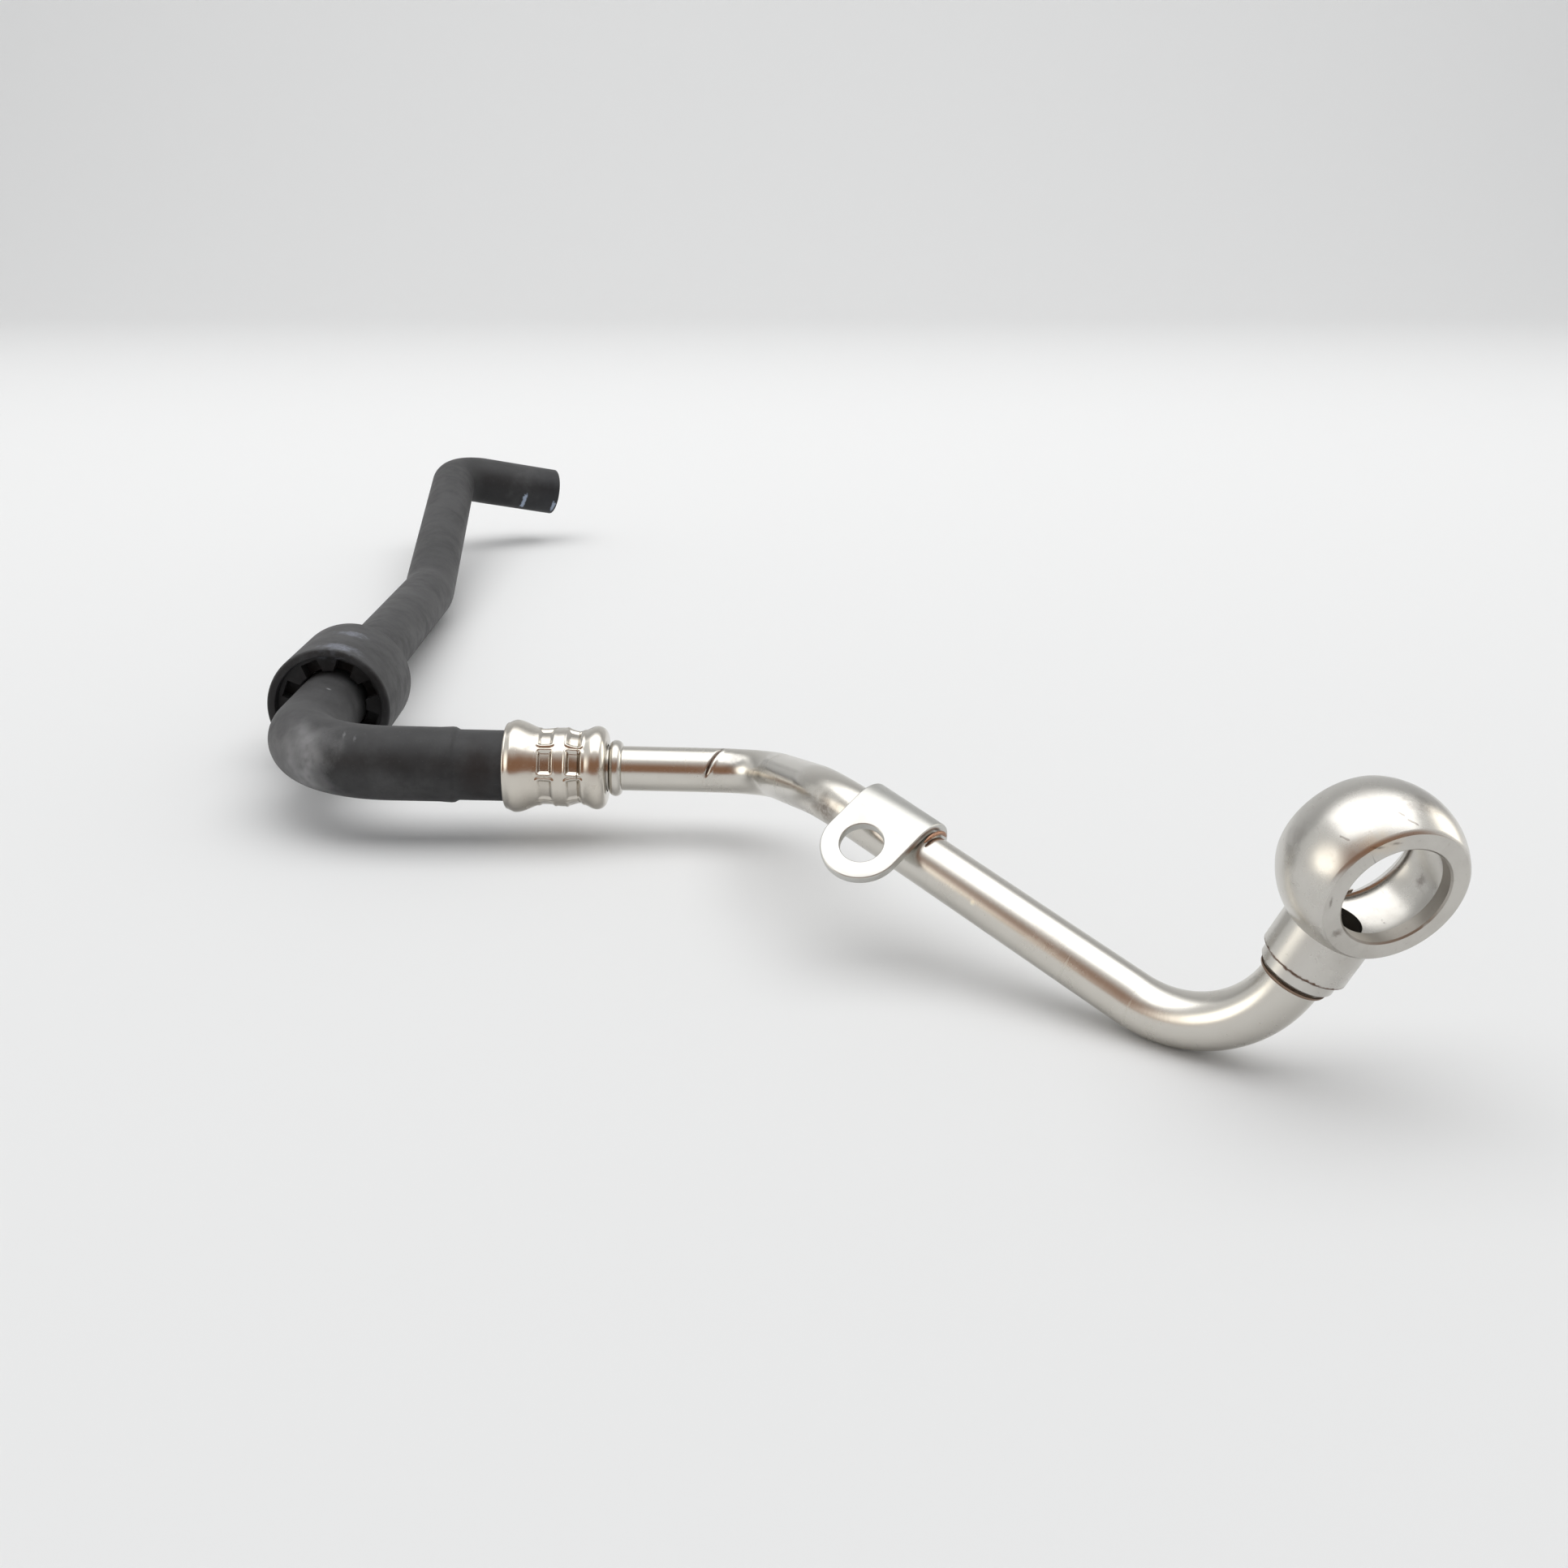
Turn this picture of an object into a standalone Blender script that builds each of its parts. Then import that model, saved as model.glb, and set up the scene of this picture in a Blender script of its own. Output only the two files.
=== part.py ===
"""Coolant line: a moulded rubber hose crimped to a bent steel tube with a ball banjo eye.

The line lies on the floor as it was photographed: +Z is up, +Y points away from the
viewer, and every size is in metres. One centreline runs from the hose's free end,
round its moulded bends, through the crimp and along the bent tube to the eye.
Run with blender --background --python part.py, or from the text editor.
"""

import math

import bmesh
import bpy
from mathutils import Matrix, Vector

MM = 0.001

# Play between pieces that touch on the real line
CLEARANCE = 0.3 * MM

# Place of the hose's elbow, where the centreline is set out from
ELBOW_X = -74.42 * MM
ELBOW_Y = -94.02 * MM
ELBOW_HEIGHT = 14.82 * MM

# Straight runs of the hose from corner to corner, going away from the elbow
HOSE_LONG_RUN = 160.2 * MM
HOSE_RISING_RUN = 105.1 * MM
HOSE_END_RUN = 34.1 * MM
HOSE_CRIMP_RUN = 86.7 * MM

# Straight runs of the tube from corner to corner, going towards the eye
TUBE_SET_RUN = 39.8 * MM
TUBE_LONG_RUN = 72.6 * MM
TUBE_EYE_RUN = 34.0 * MM

# Heading of each run, clockwise from +Y, and its slope, both in degrees
HOSE_LONG_AIM = (-2.8, -2.3)
HOSE_RISING_AIM = (-6.5, 8.4)
HOSE_END_AIM = (65.0, -12.7)
HOSE_CRIMP_AIM = (89.6, -1.5)
TUBE_SET_AIM = (164.6, 13.7)
TUBE_LONG_AIM = (130.5, -17.6)
TUBE_EYE_AIM = (111.8, 65.2)

# Centreline bend radii
HOSE_FAR_BEND = 12.0 * MM
HOSE_REST_BEND = 32.0 * MM
HOSE_ELBOW_BEND = 20.0 * MM
TUBE_SET_BEND = 12.0 * MM
TUBE_CREST_BEND = 20.0 * MM
TUBE_REST_BEND = 17.5 * MM
BEND_STEP = math.radians(9)

# Rubber hose
HOSE_OD = 13.4 * MM
HOSE_END_OD = 14.8 * MM
HOSE_BORE = 7.6 * MM
SKIVED_OD = 12.7 * MM
SKIVE_LENGTH = 8.3 * MM
SKIVE_STEP = 0.6 * MM
HOSE_SIDES_STEP = 9
BORE_SIDES_STEP = 5

# Steel tube
TUBE_OD = 8.0 * MM
TUBE_WALL = 1.0 * MM
TUBE_SIDES_STEP = 8
INSERTED_PAST_FERRULE = 1.4 * MM
BARB_HEIGHT = 0.15 * MM
BARB_PITCH = 3.2 * MM
BARB_COUNT = 4
BEAD_OD = 10.1 * MM
BEAD_WIDTH = 2.4 * MM
BEAD_STEPS = 7

# Crimped ferrule, measured along the hose from the face that meets the bead
CRIMP_FROM_ELBOW = 58.2 * MM
FERRULE_LENGTH = 18.1 * MM
INSERTED_LENGTH = FERRULE_LENGTH + INSERTED_PAST_FERRULE
FERRULE_LIP_OD = 16.6 * MM
FERRULE_LIP_AT = 16.3 * MM
FERRULE_RIM_OD = 15.4 * MM
FERRULE_FIRST_WAIST_OD = 13.6 * MM
FERRULE_FIRST_WAIST_AT = 11.2 * MM
FERRULE_MID_OD = 14.2 * MM
FERRULE_MID_AT = 7.6 * MM
FERRULE_SECOND_WAIST_OD = 13.0 * MM
FERRULE_SECOND_WAIST_AT = 4.9 * MM
FERRULE_END_OD = 15.0 * MM
FERRULE_END_AT = 1.8 * MM
FERRULE_WALL = 1.0 * MM
FERRULE_EDGE = 0.5 * MM
FERRULE_BLEND_STEPS = 5
FERRULE_SHOULDER_STEPS = 5
FERRULE_STEPS = 40
PAD_ROWS_AT = (10.6 * MM, 5.6 * MM)
PADS_PER_ROW = 8
PAD_LENGTH = 2.0 * MM
PAD_WIDTH = 3.7 * MM
PAD_DEPTH = 0.35 * MM
PAD_FACING = Vector((0.0, -0.9, 0.44))

# Moulded rubber collar on the hose
COLLAR_FROM_ELBOW = 36.5 * MM
COLLAR_LENGTH = 25.0 * MM
COLLAR_OD = 24.4 * MM
COLLAR_RIM = 1.7 * MM
COLLAR_RECESS = 2.2 * MM
COLLAR_EDGE = 0.7 * MM
COLLAR_STEPS = 48
WINDOW_COUNT = 8
WINDOW_WIDTH = 3.5 * MM
WINDOW_WEB = 0.9 * MM

# Banjo fitting, turned about its bolt axis
EYE_AXIS = Vector((0.21, -0.945, -0.248)).normalized()
EYE_OD = 22.9 * MM
EYE_FACE_OD = 19.3 * MM
EYE_WIDTH = 12.4 * MM
EYE_BORE = 14.2 * MM
EYE_GROOVE_OD = 17.0 * MM
EYE_LAND = 2.0 * MM
EYE_GROOVE_STEPS = 8
EYE_ARC_STEPS = 9
EYE_STEPS = 48
STEM_OD = 11.7 * MM
STEM_REACH = 17.6 * MM
STEM_NOSE_OD = 10.2 * MM
STEM_NOSE_LENGTH = 2.2 * MM
STEM_NOSE_CHAMFER = 0.5 * MM
SOCKET_DEPTH = 5.5 * MM
PORT_BORE = 5.8 * MM
STEM_STEPS = 32

# Brazed strap
STRAP_FROM_CREST = 12.8 * MM
STRAP_FACING = Vector((-0.14, -0.56, 0.815))
STRAP_WIDTH = 12.4 * MM
STRAP_THICKNESS = 1.5 * MM
STRAP_WRAP = math.radians(118)
STRAP_HOLE = 6.6 * MM
STRAP_HOLE_FROM_BEND = 6.2 * MM
STRAP_ARC_STEPS = 12
STRAP_STEPS = 40

# Braze metal
BRAZE_BEAD = 0.7 * MM
BRAZE_ARC = math.radians(80)
BRAZE_RING_WIDTH = 0.5 * MM
BRAZE_RING_HEIGHT = 0.35 * MM

OVERSHOOT = 1.0 * MM
EDGE_STEPS = 3
BRAZE_SIDES_STEP = 2
WELD_DISTANCE = 0.002 * MM


def run_end(corner, length, aim):
    """Corner at the far end of a straight run."""
    heading = math.radians(aim[0])
    slope = math.radians(aim[1])
    flat = length * math.cos(slope)
    return corner + Vector((flat * math.sin(heading), flat * math.cos(heading), length * math.sin(slope)))


# Corners of the centreline, before its bends are rounded
HOSE_ELBOW_CORNER = Vector((ELBOW_X, ELBOW_Y, ELBOW_HEIGHT))
HOSE_REST_CORNER = run_end(HOSE_ELBOW_CORNER, HOSE_LONG_RUN, HOSE_LONG_AIM)
HOSE_FAR_CORNER = run_end(HOSE_REST_CORNER, HOSE_RISING_RUN, HOSE_RISING_AIM)
HOSE_FREE_END = run_end(HOSE_FAR_CORNER, HOSE_END_RUN, HOSE_END_AIM)
TUBE_SET_CORNER = run_end(HOSE_ELBOW_CORNER, HOSE_CRIMP_RUN, HOSE_CRIMP_AIM)
TUBE_CREST_CORNER = run_end(TUBE_SET_CORNER, TUBE_SET_RUN, TUBE_SET_AIM)
TUBE_REST_CORNER = run_end(TUBE_CREST_CORNER, TUBE_LONG_RUN, TUBE_LONG_AIM)
EYE_CENTRE = run_end(TUBE_REST_CORNER, TUBE_EYE_RUN, TUBE_EYE_AIM)


def clear_scene():
    """Remove every object that the file opened with."""
    for thing in list(bpy.data.objects):
        bpy.data.objects.remove(thing, do_unlink=True)


def make_collection(name):
    """Link a new collection to the scene."""
    collection = bpy.data.collections.new(name)
    bpy.context.scene.collection.children.link(collection)
    return collection


def make_material(name, colour, roughness, metallic):
    """A plain Principled material."""
    material = bpy.data.materials.new(name)
    material.use_nodes = True
    shader = material.node_tree.nodes["Principled BSDF"]
    shader.inputs["Base Color"].default_value = (*colour, 1.0)
    shader.inputs["Roughness"].default_value = roughness
    shader.inputs["Metallic"].default_value = metallic
    material.diffuse_color = (*colour, 1.0)
    return material


def add_mesh_object(name, mesh, collection):
    """Give a mesh its object in a collection."""
    piece = bpy.data.objects.new(name, mesh)
    collection.objects.link(piece)
    return piece


def as_cutter(piece):
    """Show a cutter as wire and keep it out of renders."""
    piece.hide_render = True
    piece.display_type = "WIRE"
    return piece


def boolean(piece, tool, operation):
    """Join, cut or keep a piece's overlap with a tool."""
    modifier = piece.modifiers.new(tool.name, "BOOLEAN")
    modifier.operation = operation
    modifier.solver = "EXACT"
    modifier.object = tool


def standing_on(origin, axis, toward):
    """Matrix with +Z along axis and +X as near to toward as it can be."""
    up = axis.normalized()
    side = (toward - up * toward.dot(up)).normalized()
    matrix = Matrix((side, up.cross(side), up)).transposed().to_4x4()
    matrix.translation = origin
    return matrix


def rounded_corner(before, corner, after, radius):
    """Points of the arc that rounds one corner of a centreline."""
    back = (before - corner).normalized()
    ahead = (after - corner).normalized()
    opening = back.angle(ahead)
    centre = corner + (back + ahead).normalized() * radius / math.sin(opening / 2)
    turn = math.pi - opening
    start = corner + back * radius / math.tan(opening / 2) - centre
    axis = (-back).cross(ahead)
    steps = max(3, math.ceil(turn / BEND_STEP))
    return [centre + Matrix.Rotation(turn * i / steps, 3, axis) @ start for i in range(steps + 1)]


def crimp_point(distance):
    """Point on the crimp's axis, measured from the ferrule's bead face towards the eye."""
    axis = (TUBE_SET_CORNER - HOSE_ELBOW_CORNER).normalized()
    return HOSE_ELBOW_CORNER + axis * (CRIMP_FROM_ELBOW + distance)


def swept(name, stations, sides_step, collection):
    """Closed solid of round section along (point, radius) stations."""
    curve = bpy.data.curves.new(name, "CURVE")
    curve.dimensions = "3D"
    curve.bevel_depth = 1.0
    curve.bevel_resolution = sides_step
    curve.use_fill_caps = True
    spline = curve.splines.new("POLY")
    spline.points.add(len(stations) - 1)
    for node, (point, radius) in zip(spline.points, stations):
        node.co = (*point, 1.0)
        node.radius = radius
    route = bpy.data.objects.new(name + "_route", curve)
    collection.objects.link(route)
    evaluated = route.evaluated_get(bpy.context.evaluated_depsgraph_get())
    mesh = bpy.data.meshes.new_from_object(evaluated)
    bpy.data.objects.remove(route, do_unlink=True)
    solid = bmesh.new()
    solid.from_mesh(mesh)
    bmesh.ops.remove_doubles(solid, verts=solid.verts, dist=WELD_DISTANCE)
    bmesh.ops.recalc_face_normals(solid, faces=solid.faces)
    solid.to_mesh(mesh)
    solid.free()
    return add_mesh_object(name, mesh, collection)


def turned(name, outline, steps, collection, closed=False):
    """Solid of revolution about Z from (radius, height) points, listed from the top down."""
    mesh = bpy.data.meshes.new(name)
    edges = [(i, i + 1) for i in range(len(outline) - 1)]
    if closed:
        edges.append((len(outline) - 1, 0))
    mesh.from_pydata([(radius, 0.0, height) for radius, height in outline], edges, [])
    piece = add_mesh_object(name, mesh, collection)
    screw = piece.modifiers.new("Turn", "SCREW")
    screw.axis = "Z"
    screw.steps = steps
    screw.render_steps = steps
    screw.use_merge_vertices = True
    screw.merge_threshold = WELD_DISTANCE
    return piece


def box_ring(name, count, size, radius, heights, collection):
    """One mesh of boxes spaced evenly round Z, for each height."""
    ring = bmesh.new()
    for height in heights:
        for i in range(count):
            place = Matrix.Rotation(math.tau * i / count, 4, "Z") @ Matrix.Translation((radius, 0.0, height))
            bmesh.ops.create_cube(ring, size=1.0, matrix=place @ Matrix.Diagonal((*size, 1.0)))
    mesh = bpy.data.meshes.new(name)
    ring.to_mesh(mesh)
    ring.free()
    return as_cutter(add_mesh_object(name, mesh, collection))


def ferrule_radius(back):
    """Outer radius of the ferrule at a distance back from its bead face."""
    stations = (
        (FERRULE_END_AT, FERRULE_END_OD),
        (FERRULE_SECOND_WAIST_AT, FERRULE_SECOND_WAIST_OD),
        (FERRULE_MID_AT, FERRULE_MID_OD),
        (FERRULE_FIRST_WAIST_AT, FERRULE_FIRST_WAIST_OD),
        (FERRULE_LIP_AT, FERRULE_LIP_OD),
        (FERRULE_LENGTH, FERRULE_RIM_OD),
    )
    if back <= stations[0][0]:
        return stations[0][1] / 2
    for (near, near_od), (far, far_od) in zip(stations, stations[1:]):
        if back <= far:
            share = (1 - math.cos(math.pi * (back - near) / (far - near))) / 2
            return (near_od + (far_od - near_od) * share) / 2
    return stations[-1][1] / 2


def ferrule_inner_radius(back):
    """Inner radius of the ferrule, which never stands off the skived hose."""
    return min(SKIVED_OD / 2 + CLEARANCE, ferrule_radius(back) - FERRULE_WALL)


def ferrule_stations(steps):
    """Distances back from the bead face, with some steps from each waist to the next bulge."""
    marks = (
        FERRULE_END_AT,
        FERRULE_SECOND_WAIST_AT,
        FERRULE_MID_AT,
        FERRULE_FIRST_WAIST_AT,
        FERRULE_LIP_AT,
    )
    distances = [marks[0]]
    for near, far in zip(marks, marks[1:]):
        for i in range(1, steps + 1):
            distances.append(near + (far - near) * i / steps)
    return distances


def quarter_round(centre_radius, centre_height, size, start):
    """Points of a quarter circle in the turning plane, from an angle, going clockwise."""
    points = []
    for i in range(EDGE_STEPS + 1):
        angle = start - math.pi / 2 * i / EDGE_STEPS
        points.append((centre_radius + size * math.cos(angle), centre_height + size * math.sin(angle)))
    return points


def make_hose(parts, cutters, material):
    """Moulded hose with its skived, crimped end and an open cut end."""
    wide = HOSE_OD / 2
    swell = HOSE_END_OD / 2 - wide
    stations = [(HOSE_FREE_END, wide + swell)]
    far_arc = rounded_corner(HOSE_FREE_END, HOSE_FAR_CORNER, HOSE_REST_CORNER, HOSE_FAR_BEND)
    for index, point in enumerate(far_arc):
        stations.append((point, wide + swell * (1 - index / (len(far_arc) - 1))))
    bends = (
        (HOSE_FAR_CORNER, HOSE_REST_CORNER, HOSE_ELBOW_CORNER, HOSE_REST_BEND),
        (HOSE_REST_CORNER, HOSE_ELBOW_CORNER, TUBE_SET_CORNER, HOSE_ELBOW_BEND),
    )
    for before, corner, after, radius in bends:
        stations += [(point, wide) for point in rounded_corner(before, corner, after, radius)]
    route = [point for point, radius in stations]
    skive_end = -(FERRULE_LENGTH + SKIVE_LENGTH)
    stations.append((crimp_point(skive_end - SKIVE_STEP), wide))
    stations.append((crimp_point(skive_end), SKIVED_OD / 2))
    for back in reversed(ferrule_stations(1)):
        stations.append((crimp_point(-back), ferrule_inner_radius(back) - CLEARANCE))
    hose = swept("rubber_hose", stations, HOSE_SIDES_STEP, parts)
    hose.data.materials.append(material)

    narrow = HOSE_BORE / 2
    grip = TUBE_OD / 2 + BARB_HEIGHT + CLEARANCE
    lead_out = (HOSE_FREE_END - HOSE_FAR_CORNER).normalized() * OVERSHOOT
    bore = [(route[0] + lead_out, narrow)]
    bore += [(point, narrow) for point in route[1:]]
    tube_end = -(INSERTED_LENGTH + CLEARANCE)
    bore.append((crimp_point(tube_end - CLEARANCE), narrow))
    bore.append((crimp_point(tube_end), grip))
    bore.append((crimp_point(OVERSHOOT), grip))
    boolean(hose, as_cutter(swept("hose_bore", bore, BORE_SIDES_STEP, cutters)), "DIFFERENCE")


def make_tube(parts, cutters, material):
    """Bent steel tube with barbs inside the hose and a bead at the ferrule."""
    plain = TUBE_OD / 2
    barbed = plain + BARB_HEIGHT
    stations = [(crimp_point(-INSERTED_LENGTH), plain)]
    for i in range(BARB_COUNT):
        start = -INSERTED_LENGTH + BARB_PITCH * (i + 0.5)
        stations.append((crimp_point(start), plain))
        stations.append((crimp_point(start + BARB_PITCH / 2), barbed))
        stations.append((crimp_point(start + BARB_PITCH / 2 + BARB_HEIGHT), plain))
    bead_rise = BEAD_OD / 2 - plain
    stations.append((crimp_point(CLEARANCE), plain))
    for i in range(1, BEAD_STEPS):
        share = math.sin(math.pi * i / BEAD_STEPS)
        reach = CLEARANCE + BEAD_WIDTH * i / BEAD_STEPS
        stations.append((crimp_point(reach), plain + bead_rise * math.sqrt(share)))
    stations.append((crimp_point(CLEARANCE + BEAD_WIDTH), plain))
    bends = (
        (HOSE_ELBOW_CORNER, TUBE_SET_CORNER, TUBE_CREST_CORNER, TUBE_SET_BEND),
        (TUBE_SET_CORNER, TUBE_CREST_CORNER, TUBE_REST_CORNER, TUBE_CREST_BEND),
        (TUBE_CREST_CORNER, TUBE_REST_CORNER, EYE_CENTRE, TUBE_REST_BEND),
    )
    route = []
    for before, corner, after, radius in bends:
        route += rounded_corner(before, corner, after, radius)
    stations += [(point, plain) for point in route]
    stations.append((stem_point(STEM_REACH - SOCKET_DEPTH + CLEARANCE), plain))
    tube = swept("steel_tube", stations, TUBE_SIDES_STEP, parts)
    tube.data.materials.append(material)

    inside = plain - TUBE_WALL
    bore = [(crimp_point(-INSERTED_LENGTH - OVERSHOOT), inside)]
    bore += [(point, inside) for point in route]
    bore.append((stem_point(STEM_REACH - SOCKET_DEPTH - OVERSHOOT), inside))
    boolean(tube, as_cutter(swept("tube_bore", bore, BORE_SIDES_STEP, cutters)), "DIFFERENCE")


def make_ferrule(parts, cutters, material):
    """Crimped sleeve with a rolled lip, two waists and two rows of pressed pads."""
    backs = ferrule_stations(FERRULE_BLEND_STEPS)
    shoulder = FERRULE_END_OD / 2 - FERRULE_END_AT
    outline = [(TUBE_OD / 2 + CLEARANCE, 0.0)]
    for i in range(FERRULE_SHOULDER_STEPS):
        angle = math.pi / 2 * (1 - i / FERRULE_SHOULDER_STEPS)
        radius = shoulder + FERRULE_END_AT * math.cos(angle)
        outline.append((radius, FERRULE_END_AT * (math.sin(angle) - 1)))
    outline += [(ferrule_radius(back), -back) for back in backs]
    rim_centre = ferrule_radius(FERRULE_LENGTH - FERRULE_EDGE) - FERRULE_EDGE
    outline += quarter_round(rim_centre, FERRULE_EDGE - FERRULE_LENGTH, FERRULE_EDGE, 0.0)
    lip_inner = ferrule_inner_radius(FERRULE_LENGTH)
    outline += quarter_round(
        lip_inner + FERRULE_EDGE, FERRULE_EDGE - FERRULE_LENGTH, FERRULE_EDGE, -math.pi / 2
    )
    outline += [(ferrule_inner_radius(back), -back) for back in reversed(ferrule_stations(1))]
    floor = FERRULE_END_AT - CLEARANCE
    outline.append((ferrule_inner_radius(FERRULE_END_AT), -floor))
    outline.append((TUBE_OD / 2 + CLEARANCE, -floor))
    ferrule = turned("ferrule", outline, FERRULE_STEPS, parts, closed=True)
    place = standing_on(crimp_point(0.0), crimp_point(1.0) - crimp_point(0.0), PAD_FACING)
    ferrule.matrix_world = place
    ferrule.data.materials.append(material)
    pads = []
    for index, back in enumerate(PAD_ROWS_AT):
        reach = ferrule_radius(back) - PAD_DEPTH + OVERSHOOT
        size = (2 * OVERSHOOT, PAD_WIDTH, PAD_LENGTH)
        row = box_ring(f"pad_row_{index + 1}", PADS_PER_ROW, size, reach, (-back,), cutters)
        row.matrix_world = place
        pads.append(row)
    for row in pads:
        boolean(ferrule, row, "DIFFERENCE")


def make_collar(parts, cutters, material):
    """Moulded ring on the hose: a stiff rim, recessed ends and eight windows round the hose."""
    outer = COLLAR_OD / 2
    grip = HOSE_OD / 2 + CLEARANCE
    inner = outer - COLLAR_RIM
    outline = [(inner, COLLAR_LENGTH)]
    outline += quarter_round(outer - COLLAR_EDGE, COLLAR_LENGTH - COLLAR_EDGE, COLLAR_EDGE, math.pi / 2)
    outline += quarter_round(outer - COLLAR_EDGE, COLLAR_EDGE, COLLAR_EDGE, 0.0)
    outline += [
        (inner, 0.0),
        (inner, COLLAR_RECESS),
        (grip, COLLAR_RECESS),
        (grip, COLLAR_LENGTH - COLLAR_RECESS),
        (inner, COLLAR_LENGTH - COLLAR_RECESS),
    ]
    collar = turned("damper_collar", outline, COLLAR_STEPS, parts, closed=True)
    run = (HOSE_REST_CORNER - HOSE_ELBOW_CORNER).normalized()
    place = standing_on(HOSE_ELBOW_CORNER + run * COLLAR_FROM_ELBOW, run, Vector((0.0, 0.0, 1.0)))
    place = place @ Matrix.Rotation(math.pi / WINDOW_COUNT, 4, "Z")
    collar.matrix_world = place
    collar.data.materials.append(material)
    window_top = inner - WINDOW_WEB
    window_bottom = grip - OVERSHOOT
    size = (window_top - window_bottom, WINDOW_WIDTH, COLLAR_LENGTH + 2 * OVERSHOOT)
    middle = (window_top + window_bottom) / 2
    windows = box_ring("collar_windows", WINDOW_COUNT, size, middle, (COLLAR_LENGTH / 2,), cutters)
    windows.matrix_world = place
    boolean(collar, windows, "DIFFERENCE")


def stem_point(distance):
    """Point on the stem's axis at a distance from the eye's centre."""
    return EYE_CENTRE + (TUBE_REST_CORNER - EYE_CENTRE).normalized() * distance


def make_banjo(parts, cutters, material):
    """Ball eye with two sealing faces, a grooved bolt bore and a bored stem."""
    half = EYE_WIDTH / 2
    rise = (EYE_OD - EYE_FACE_OD) / 2
    arc_radius = (half ** 2 + rise ** 2) / (2 * rise)
    arc_centre = EYE_OD / 2 - arc_radius
    spread = math.asin(half / arc_radius)
    outline = [(0.0, half)]
    for i in range(EYE_ARC_STEPS + 1):
        angle = spread * (1 - 2 * i / EYE_ARC_STEPS)
        outline.append((arc_centre + arc_radius * math.cos(angle), arc_radius * math.sin(angle)))
    outline.append((0.0, -half))
    eye = turned("banjo_fitting", outline, EYE_STEPS, parts)
    stem_axis = stem_point(1.0) - EYE_CENTRE
    place = standing_on(EYE_CENTRE, EYE_AXIS, stem_axis)
    eye.matrix_world = place
    eye.data.materials.append(material)

    buried = EYE_BORE / 4
    stem_outline = [
        (0.0, STEM_REACH),
        (STEM_NOSE_OD / 2, STEM_REACH),
        (STEM_NOSE_OD / 2, STEM_REACH - STEM_NOSE_LENGTH + STEM_NOSE_CHAMFER),
        (STEM_OD / 2, STEM_REACH - STEM_NOSE_LENGTH),
        (STEM_OD / 2, buried),
        (0.0, buried),
    ]
    stem = as_cutter(turned("stem_blank", stem_outline, STEM_STEPS, cutters))
    along_stem = standing_on(EYE_CENTRE, stem_axis, EYE_AXIS)
    stem.matrix_world = along_stem
    boolean(eye, stem, "UNION")

    land = half - EYE_LAND
    groove = (EYE_GROOVE_OD - EYE_BORE) / 2
    bore_outline = [(0.0, half + OVERSHOOT), (EYE_BORE / 2, half + OVERSHOOT), (EYE_BORE / 2, land)]
    for i in range(1, EYE_GROOVE_STEPS):
        angle = math.pi * i / EYE_GROOVE_STEPS
        reach = EYE_BORE / 2 + groove * math.sqrt(math.sin(angle))
        bore_outline.append((reach, land * math.cos(angle)))
    bore_outline += [(EYE_BORE / 2, -land), (EYE_BORE / 2, -half - OVERSHOOT), (0.0, -half - OVERSHOOT)]
    bore = as_cutter(turned("bolt_bore", bore_outline, EYE_STEPS, cutters))
    bore.matrix_world = place
    boolean(eye, bore, "DIFFERENCE")

    socket = TUBE_OD / 2 + CLEARANCE
    shoulder = STEM_REACH - SOCKET_DEPTH
    port_outline = [
        (0.0, STEM_REACH + OVERSHOOT),
        (socket, STEM_REACH + OVERSHOOT),
        (socket, shoulder),
        (PORT_BORE / 2, shoulder),
        (PORT_BORE / 2, buried),
        (0.0, buried),
    ]
    port = as_cutter(turned("tube_socket", port_outline, STEM_STEPS, cutters))
    port.matrix_world = along_stem
    boolean(eye, port, "DIFFERENCE")


def make_braze_ring(parts, material):
    """Thin ring of braze where the tube enters the stem."""
    inner = TUBE_OD / 2 + CLEARANCE
    outline = [
        (inner, BRAZE_RING_WIDTH),
        (inner + BRAZE_RING_HEIGHT / 2, BRAZE_RING_WIDTH / 2),
        (inner + BRAZE_RING_HEIGHT, 0.0),
        (inner, 0.0),
    ]
    ring = turned("banjo_braze_ring", outline, STEM_STEPS, parts, closed=True)
    origin = stem_point(STEM_REACH + CLEARANCE)
    ring.matrix_world = standing_on(origin, origin - EYE_CENTRE, EYE_AXIS)
    ring.data.materials.append(material)


def strap_frame():
    """Frame on the tube's axis under the strap: X along the tube, Z square to the tab."""
    along = (TUBE_REST_CORNER - TUBE_CREST_CORNER).normalized()
    facing = (STRAP_FACING - along * STRAP_FACING.dot(along)).normalized()
    matrix = Matrix((along, facing.cross(along), facing)).transposed().to_4x4()
    matrix.translation = TUBE_CREST_CORNER + along * STRAP_FROM_CREST
    return matrix


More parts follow.
